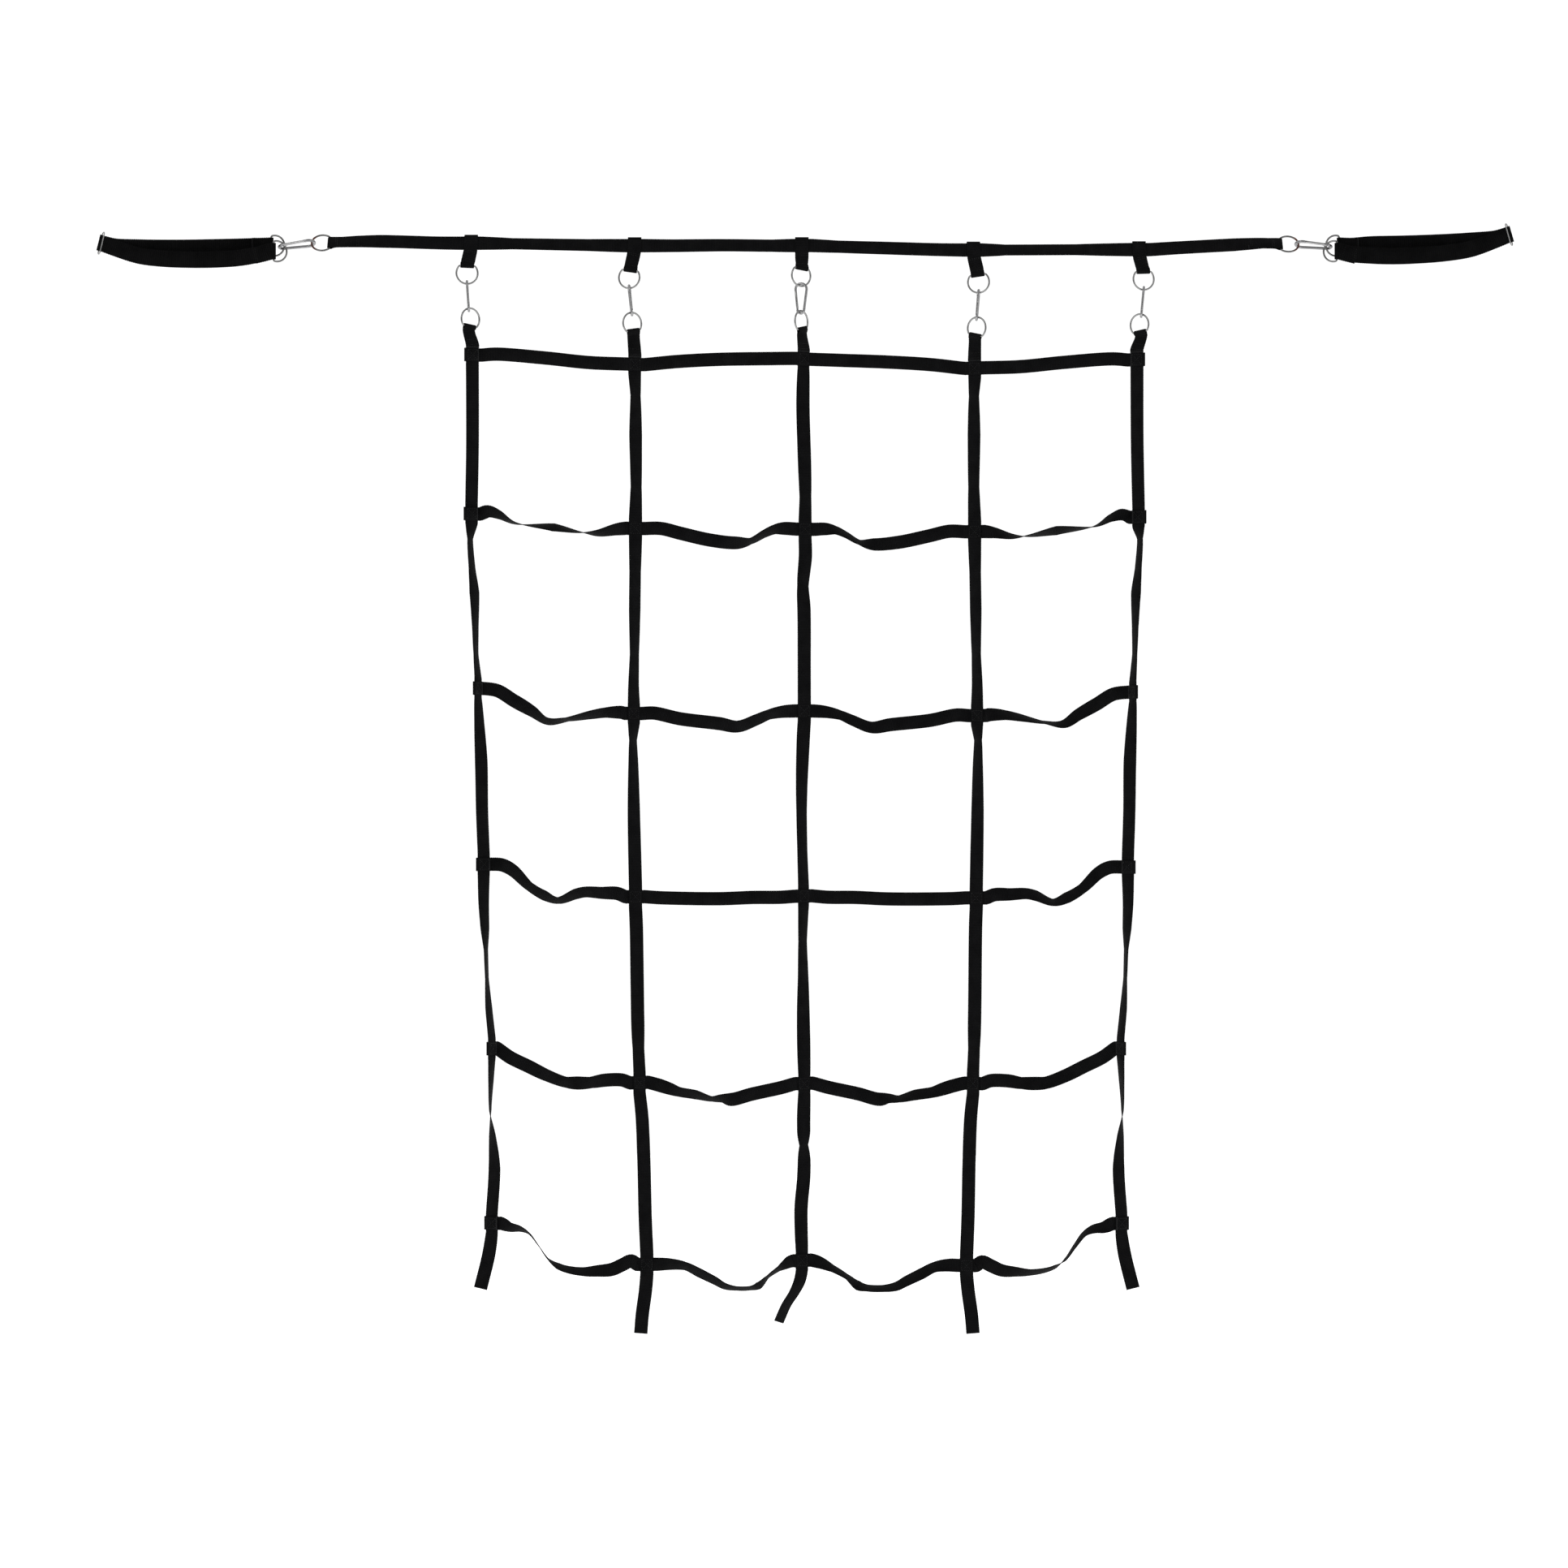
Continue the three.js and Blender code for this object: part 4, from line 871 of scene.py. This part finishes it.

# %% [markdown]
# A model is made once and copied to each of its places. A copy gets its own mesh, which is turned and moved
# there, so that the object itself stays at the origin. Then it gets its steel, it is hung on the body that
# carries it, and the CAD node it stands for is hidden.

# %% Placing copies
def place_copy(model, name, at, x, z):
    piece = model.copy()
    piece.data = model.data.copy()
    piece.name = name
    bpy.context.collection.objects.link(piece)
    y = z.cross(x)
    turn = Matrix((x, y, z)).transposed().to_4x4()
    piece.data.transform(Matrix.Translation(at * MM) @ turn)
    return piece


def finish_steel(piece, node_name, body, material):
    piece.data.materials.clear()
    piece.data.materials.append(material)
    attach(piece, body)
    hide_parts(node_name)


# %% [markdown]
# A D-ring is a circle with its top cut off by a straight bar, the bar's corners rounded by the bend. It is
# modelled once in each size, with a small weld seam in the middle of its bar, and copied into place.

# %% D-rings
WELD = SimpleNamespace(long=3.2, proud=0.22, fade=(0.3, 0.8))
CORNER_STEPS = 6
ROUND_STEPS = 48


def ring_model(name, ring):
    x = math.sqrt((ring.radius - ring.corner) ** 2 - (ring.rise - ring.corner) ** 2)
    aim = math.degrees(math.atan2(ring.rise - ring.corner, x))
    piece = bend_wire(name, ring.wire, Vector((-x, 0, 0)), [
        line_to(Vector((2 * x, 0, 0))),
        arc(Vector((x, 0, -ring.corner)), 90 - aim, CORNER_STEPS),
        arc(Vector((0, 0, -ring.rise)), 180 + 2 * aim, ROUND_STEPS),
        arc(Vector((-x, 0, -ring.corner)), 90 - aim, CORNER_STEPS),
    ], closed=True)
    for vertex in piece.data.vertices:
        spread = 1 - min(1, abs(vertex.co.x / MM) / WELD.long)
        if vertex.co.z / MM > -2 * ring.wire and spread > 0:
            middle = Vector((vertex.co.x, 0, 0))
            proud = WELD.proud * MM * smoothstep(spread, *WELD.fade)
            vertex.co += (vertex.co - middle).normalized() * proud
    return piece


common_ring = ring_model("ring_model", RING)
anchor_ring = ring_model("anchor_ring_model", ANCHOR_RING)
for number, hanger in enumerate(hangers, 1):
    ring = place_copy(common_ring, f"upper_ring_{number}_wire", hanger.bar, hanger.wide, hanger.rise)
    finish_steel(ring, f"upper_ring_{number}", "net", ring_steel)
    ring = place_copy(
        common_ring, f"lower_ring_{number}_wire", hanger.low_bar, -hanger.low_wide, -hanger.low_rise)
    finish_steel(ring, f"lower_ring_{number}", "net", ring_steel)
for end, (side, place) in zip(header_ends, ends.items()):
    ring = place_copy(common_ring, f"header_ring_{side}_wire", end.bar, end.wide, place.inward)
    finish_steel(ring, f"header_ring_{side}", "net", header_ring_steel)
    for strand in place.layers:
        name = f"anchor_ring_{side}_{strand.name}"
        ring = place_copy(anchor_ring, f"{name}_wire", strand.bar, UP, -strand.out)
        finish_steel(ring, name, "net", anchor_ring_steel)
print("vertices in one ring:", len(common_ring.data.vertices))

# %% [markdown]
# The snap hook is a pear of thicker wire. At its narrow end and at its nose the wire is pressed into a flat
# tongue, made from a cube with bevelled edges and joined to the wire. The gate closes over both tongues.

# %% Snap hooks
NARROW_STEPS = 22
WIDE_STEPS = 30
TONGUE_EDGE = SimpleNamespace(round=0.35, segments=3)
HEEL_BEYOND = 0.8  # the heel's tongue ends this share of its half width past the pin


def tongue(start, end, half):
    bpy.ops.object.select_all(action="DESELECT")
    bpy.ops.mesh.primitive_cube_add(size=1)
    plate = bpy.context.object
    plate.scale = (2 * half * MM, TONGUE.thick * MM, (end - start).length * MM)
    bpy.ops.object.transform_apply(location=False, rotation=False, scale=True)
    bpy.ops.object.mode_set(mode="EDIT")
    bpy.ops.mesh.select_all(action="SELECT")
    bpy.ops.mesh.bevel(offset=TONGUE_EDGE.round * MM, segments=TONGUE_EDGE.segments, affect="EDGES")
    bpy.ops.object.mode_set(mode="OBJECT")
    aim = (end - start).normalized()
    plate.data.transform(Matrix.Rotation(math.atan2(aim.x, aim.z), 4, "Y"))
    plate.data.transform(Matrix.Translation((start + end) / 2 * MM))
    return plate


def join(pieces, name):
    bpy.ops.object.select_all(action="DESELECT")
    for piece in pieces:
        piece.select_set(True)
    bpy.context.view_layer.objects.active = pieces[0]
    bpy.ops.object.join()
    pieces[0].name = name
    return pieces[0]


def hook_model(name, hook):
    plan = hook_plan(hook)
    tilt = math.degrees(plan.lean)
    flip = Matrix.Scale(-1, 3, Vector((1, 0, 0)))
    nose = plan.low + plan.along * plan.nose_at
    wire = bend_wire(name, hook.wire, plan.low + plan.along * HOOK_ENDS.stub, [
        line_to(plan.along * -HOOK_ENDS.stub),
        arc(Vector((0, 0, plan.narrow_z)), -(180 - 2 * tilt), NARROW_STEPS),
        line_to(flip @ plan.high - flip @ plan.low),
        arc(Vector((0, 0, plan.wide_z)), -(180 + 2 * tilt), WIDE_STEPS),
        line_to(nose - plan.high),
    ], closed=False)
    half = hook.wire - TONGUE.inset
    root = plan.low + plan.along * (HOOK_ENDS.stub - TONGUE.root)
    heel = tongue(root, plan.pivot + plan.along * half * HEEL_BEYOND, half)
    tip = tongue(nose + plan.along * TONGUE.root, nose - plan.along * GATE.bite, half)
    return join([wire, heel, tip], name)


print("a hook's sides lean, degrees:", round(math.degrees(hook_plan(HOOK).lean), 1))

# %% [markdown]
# A gate is turned from bar: a cylinder with its rims bevelled, a slot cut into each end by a Boolean
# modifier, and a pin through the slotted heel, its riveted heads a little proud. It rides on its own body, so
# it swings.

# %% Gates
BAR_SIDES = 20
RIM = SimpleNamespace(segments=3, angle=math.radians(60))
SLOT_ACROSS = 3  # radii of the bar, so that a slot's cutter reaches past both sides
GATE_ROUND = 0.5
PIN_ROUND = 0.3
PIN_PROUD = 0.5
GATE_CREASE = math.radians(40)


def cut_slot(bar, z_low, z_high, wide):
    bpy.ops.object.select_all(action="DESELECT")
    bpy.ops.mesh.primitive_cube_add(size=1, location=(0, 0, (z_low + z_high) / 2 * MM))
    cutter = bpy.context.object
    cutter.scale = (wide * MM, GATE.slot * MM, (z_high - z_low) * MM)
    bpy.ops.object.transform_apply(location=True, rotation=False, scale=True)
    select_only(bar)
    slot = bar.modifiers.new("slot", "BOOLEAN")
    slot.operation, slot.object, slot.solver = "DIFFERENCE", cutter, "EXACT"
    bpy.ops.object.modifier_apply(modifier=slot.name)
    bpy.data.objects.remove(cutter)


def turned_bar(radius, depth, centre, round_off, along_y=False):
    bpy.ops.object.select_all(action="DESELECT")
    bpy.ops.mesh.primitive_cylinder_add(vertices=BAR_SIDES, radius=radius * MM, depth=depth * MM)
    bar = bpy.context.object
    rim = bar.modifiers.new("rim", "BEVEL")
    rim.width, rim.segments = round_off * MM, RIM.segments
    rim.limit_method, rim.angle_limit = "ANGLE", RIM.angle
    bpy.ops.object.modifier_apply(modifier=rim.name)
    if along_y:
        bar.data.transform(Matrix.Rotation(math.pi / 2, 4, "X"))
    bar.data.transform(Matrix.Translation(centre * MM))
    return bar


def gate_model(name, hook):
    plan = hook_plan(hook)
    radius = hook.wire - GATE.thin
    long = plan.gate_long + GATE.heel
    bar = turned_bar(radius, long, Vector((0, 0, long / 2 - GATE.heel)), GATE_ROUND)
    across = SLOT_ACROSS * radius
    cut_slot(bar, -GATE.heel - GATE.over, hook.wire + CLEARANCE, across)
    cut_slot(bar, plan.gate_long - GATE.bite - CLEARANCE, plan.gate_long + GATE.over, across)
    pin = turned_bar(GATE.pin, 2 * radius + PIN_PROUD, Vector((0, 0, 0)), PIN_ROUND, along_y=True)
    gate = join([bar, pin], name)
    bpy.ops.object.shade_smooth_by_angle(angle=GATE_CREASE)
    return gate


def place_hook(models, names, body, hook, link, up, wide):
    plan = hook_plan(hook)
    x = square(wide, up)
    wire = place_copy(models[0], f"{names[0]}_wire", link, x, up)
    steel = end_hook_steel if hook is END_HOOK else hook_steel
    finish_steel(wire, names[0], "net", steel)
    y = up.cross(x)
    gate_up = (up * math.cos(plan.lean) - x * math.sin(plan.lean)).normalized()
    pivot = link + x * plan.pivot.x + up * plan.pivot.z
    gate = place_copy(models[1], f"{names[1]}_bar", pivot, y.cross(gate_up), gate_up)
    finish_steel(gate, names[1], body, gate_steel)


hook_models = hook_model("hook_model", HOOK), gate_model("gate_model", HOOK)
end_models = hook_model("end_hook_model", END_HOOK), gate_model("end_gate_model", END_HOOK)
for number, (row, hanger) in enumerate(zip(HANGERS, hangers), 1):
    names = f"hook_{number}", f"gate_{number}"
    place_hook(hook_models, names, names[1], HOOK, hanger.link, hanger.up, heading(row.hook_turn))
for side, place in ends.items():
    names = f"end_hook_{side}", f"end_gate_{side}"
    place_hook(end_models, names, names[1], END_HOOK, place.link, place.up, -place.across)
print("vertices in one hook and gate:", *(len(model.data.vertices) for model in hook_models))

# %% [markdown]
# The keeper is a long thin loop of spring wire that holds the folded anchor strap shut at its far end.

# %% Keepers
BOW_STEPS = 16
keeper_half = (KEEPER.long - KEEPER.apart) / 2 - KEEPER.wire
bow = KEEPER.apart / 2
keeper_model = bend_wire("keeper_model", KEEPER.wire, Vector((bow, 0, -keeper_half)), [
    line_to(Vector((0, 0, 2 * keeper_half))),
    arc(Vector((0, 0, keeper_half)), -180, BOW_STEPS),
    line_to(Vector((0, 0, -2 * keeper_half))),
    arc(Vector((0, 0, -keeper_half)), -180, BOW_STEPS),
], closed=True)
for side, place in ends.items():
    turn = math.radians(KEEPER.turn)
    deep = Vector((0, math.cos(turn), 0)) + place.slope * math.sin(turn)
    keeper = place_copy(keeper_model, f"keeper_{side}_wire", place.keeper_at, deep, place.leaning)
    finish_steel(keeper, f"keeper_{side}", "net", keeper_steel)
for model in (common_ring, anchor_ring, *hook_models, *end_models, keeper_model):
    bpy.data.objects.remove(model)

# %% [markdown]
# The sewing is what holds a net together: a box with a cross in it at every crossing, and rows of tacks at
# each fold. A stitch is a small grain of thread, and all of them are one joined mesh made from arrays,
# because thousands of objects would be slow.

# %% Stitches
STITCH = SimpleNamespace(long=3.1, wide=0.75, high=0.32, pitch=3.7)
BOX_HALF = 9.3
LINE_STEP = 1
GRAIN = np.array([(-1, 0, 0), (1, 0, 0), (0, -1, 0), (0, 1, 0), (0, 0, 1), (0, 0, -1)], float)
GRAIN_FACES = np.array([
    (0, 2, 4), (2, 1, 4), (1, 3, 4), (3, 0, 4), (2, 0, 5), (1, 2, 5), (3, 1, 5), (0, 3, 5)])
BOX_CORNERS = ((-1, -1), (1, -1), (1, 1), (-1, 1))
BOX_SEAMS = ((0, 1), (1, 2), (2, 3), (3, 0), (0, 2), (1, 3))
grains = []


def sew(start, end, normal):
    count = max(1, round((end - start).length / STITCH.pitch))
    ahead = (end - start).normalized()
    side = normal.cross(ahead)
    size = np.array([STITCH.long / 2, STITCH.wide / 2, STITCH.high])
    axes = np.array([ahead, side, normal])
    for k in range(count):
        middle = np.array(lerp(start, end, (k + 0.5) / count))
        grains.append(middle + (GRAIN * size) @ axes)


def sew_box(row, n):
    front = math.copysign(1, n)
    corners = [on_crossing(row, u * BOX_HALF, n) + UP * z * BOX_HALF for u, z in BOX_CORNERS]
    line = heading(folded_turn(row.turn))
    normal = Vector((line.y, -line.x, 0)) * front
    for a, b in BOX_SEAMS:
        sew(corners[a], corners[b], normal)


def sew_across(station, half, outward):
    normal = station.rise if station.rise.dot(outward) > 0 else -station.rise
    lift = normal * (WEB.thick / 2)
    sew(station.at - station.side * half + lift, station.at + station.side * half + lift, normal)


def stations_near(line, x):
    return [station for station in line if abs(station.at.x - x) < LINE_STEP]


print("triangles in one stitch:", len(GRAIN_FACES))

# %% [markdown]
# Every crossing gets its box on the front and on the back, on whichever strap lies outermost there. The folds
# get rows of tacks across the strap, at the places where a maker's machine would close them.

# %% Sewing
FRONT = Vector((0, -1, 0))
NET_TACK = 10  # half a row of tacks on the net's webbing
ANCHOR_TACK = 12  # and on the anchor straps
TAB_TACKS = SimpleNamespace(below_header=(15, 18), above_bar=8)
RAIL_TACKS = (3, 6, 16)
HEADER_TACKS = (12, 15, 52, 55)
ANCHOR_TACKS = (9, 13, 31, 34)
HEADER_FRONT = 4  # the header's own layer lies in front of this, its folded ends behind
for crossings in crossings_of:
    for i, row in enumerate(crossings):
        wrapped = i in (0, len(crossings) - 1)
        sew_box(row, (LAYER if wrapped or row.side > 0 else 0) + WEB.thick / 2)
        sew_box(row, -(LAYER if wrapped or row.side < 0 else 0) - WEB.thick / 2)
for row, hanger in zip(HANGERS, hangers):
    leg = [station for station in stations(tab_knots(row, hanger), LINE_STEP) if station.at.y < 0]
    for height in (*(row.z - low for low in TAB_TACKS.below_header), hanger.bar.z + TAB_TACKS.above_bar):
        sew_across(min(leg, key=lambda station: abs(station.at.z - height)), NET_TACK, FRONT)
for number, (rows, hanger) in enumerate(zip(rails, hangers)):
    line = stations(rail_knots(rows, [row[number] for row in crossings_of], hanger), LINE_STEP)
    for place in RAIL_TACKS:
        sew_across(line[place], NET_TACK, FRONT)
line = [station for station in stations(header_knots, LINE_STEP) if station.at.y < HEADER_FRONT]
for end in header_ends:
    for inward in HEADER_TACKS:
        near = stations_near(line, end.bar.x - end.hand * inward)
        sew_across(min(near, key=lambda station: station.at.y), NET_TACK, FRONT)
for place in ends.values():
    line = stations(anchor_knots(place), LINE_STEP)
    for strand in place.layers:
        outer = Vector((0, strand.way, 0))
        for away in ANCHOR_TACKS:
            near = stations_near(line, strand.bar.x + place.hand * away)
            sew_across(max(near, key=lambda station: station.at.dot(outer)), ANCHOR_TACK, outer)
print("stitches:", len(grains))

# %% [markdown]
# All grains become one mesh. The thread is black polyester too, a little smoother than the webbing, so it
# shows only where the light catches it.

# %% Thread
THREAD = SimpleNamespace(scale=1500, rough=0.5, dark=(0.002, 0.002, 0.0022), light=(0.008, 0.008, 0.0085))
thread_points = np.concatenate(grains) * MM
thread_faces = np.concatenate([GRAIN_FACES + len(GRAIN) * k for k in range(len(grains))])
thread_mesh = bpy.data.meshes.new("stitching")
thread_mesh.from_pydata(thread_points.tolist(), [], thread_faces.tolist())
stitching = bpy.data.objects.new("stitching", thread_mesh)
bpy.context.collection.objects.link(stitching)
for face in thread_mesh.polygons:
    face.use_smooth = True
thread, tree, shader = new_material("thread")
twist = node(tree, "ShaderNodeTexNoise")
twist.inputs["Scale"].default_value = THREAD.scale
tree.links.new(node(tree, "ShaderNodeTexCoord").outputs["Object"], twist.inputs["Vector"])
tone = colour_mix(tree, twist.outputs["Fac"], THREAD.dark, THREAD.light)
tree.links.new(tone, shader.inputs["Base Color"])
shader.inputs["Roughness"].default_value = THREAD.rough
thread_mesh.materials.append(thread)
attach(stitching, "net")
print("triangles in the stitching:", len(thread_faces))

# %% [markdown]
# The set is plain: a round floor of white paper below the net, which glows a little so that it stays white
# from every side. It belongs to the set and not to the net.

# %% Floor
FLOOR = SimpleNamespace(z=-2.45, radius=9, sides=128)
PAPER = SimpleNamespace(colour=(0.93, 0.93, 0.93, 1), rough=0.9, gloss=0.1, glow=0.7)
WHITE = (1, 1, 1, 1)
bpy.ops.object.select_all(action="DESELECT")
bpy.ops.mesh.primitive_circle_add(
    vertices=FLOOR.sides, radius=FLOOR.radius, fill_type="NGON", location=(0, 0, FLOOR.z))
floor = bpy.context.object
floor.name = "floor"
bpy.ops.object.transform_apply(location=True, rotation=True, scale=True)
paper, tree, shader = new_material("paper")
shader.inputs["Base Color"].default_value = PAPER.colour
shader.inputs["Roughness"].default_value = PAPER.rough
shader.inputs["Specular IOR Level"].default_value = PAPER.gloss
shader.inputs["Emission Color"].default_value = WHITE
shader.inputs["Emission Strength"].default_value = PAPER.glow
floor.data.materials.append(paper)
print("floor, metres below the header:", -FLOOR.z)

# %% [markdown]
# Two broad lights stand in front of the net, a stronger one on the left, and give soft shading. The camera
# doesn't see them.

# %% Lights
NET_MIDDLE = Vector((0, 0, -0.9))


def area_light(name, place, size, power):
    data = bpy.data.lights.new(name, "AREA")
    data.shape, data.size, data.energy = "SQUARE", size, power
    light = bpy.data.objects.new(name, data)
    light.location = place
    light.rotation_euler = (NET_MIDDLE - Vector(place)).to_track_quat("-Z", "Y").to_euler()
    light.visible_camera = False
    bpy.context.collection.objects.link(light)


area_light("key", (-2.6, -4.2, 2.4), size=2.4, power=60)
area_light("fill", (3.2, -4.0, 0.6), size=2.8, power=30)
print("lights:", len(bpy.data.lights))

# %% [markdown]
# The sky that the camera sees is white. The sky that lights the net and shows in the steel is dark behind the
# camera, because bright metal looks grey only when it has something dark to mirror. A Light Path node tells
# the two apart.

# %% Sky
SKY = SimpleNamespace(dark=0.06, dark_from=-1, light_from=0.1, strength=0.9, seen=1.1)
world = bpy.data.worlds.new("studio")
world.use_nodes = True
sky = world.node_tree
direction = node(sky, "ShaderNodeSeparateXYZ")
sky.links.new(node(sky, "ShaderNodeTexCoord").outputs["Generated"], direction.inputs[0])
shade = node(sky, "ShaderNodeMapRange", interpolation_type="SMOOTHSTEP")
for name, value in (
        ("From Min", SKY.dark_from), ("From Max", SKY.light_from), ("To Min", SKY.dark), ("To Max", 1)):
    shade.inputs[name].default_value = value
sky.links.new(direction.outputs["Y"], shade.inputs["Value"])
lit = sky.nodes["Background"]
sky.links.new(shade.outputs["Result"], lit.inputs["Color"])
lit.inputs["Strength"].default_value = SKY.strength
seen = node(sky, "ShaderNodeBackground")
seen.inputs["Color"].default_value = WHITE
seen.inputs["Strength"].default_value = SKY.seen
either = node(sky, "ShaderNodeMixShader")
sky.links.new(node(sky, "ShaderNodeLightPath").outputs["Is Camera Ray"], either.inputs["Fac"])
sky.links.new(lit.outputs["Background"], either.inputs[1])
sky.links.new(seen.outputs["Background"], either.inputs[2])
sky.links.new(either.outputs["Shader"], sky.nodes["World Output"].inputs["Surface"])
bpy.context.scene.world = world
bpy.context.scene.view_settings.view_transform = "Standard"
print("sky nodes:", len(sky.nodes))

# %% [markdown]
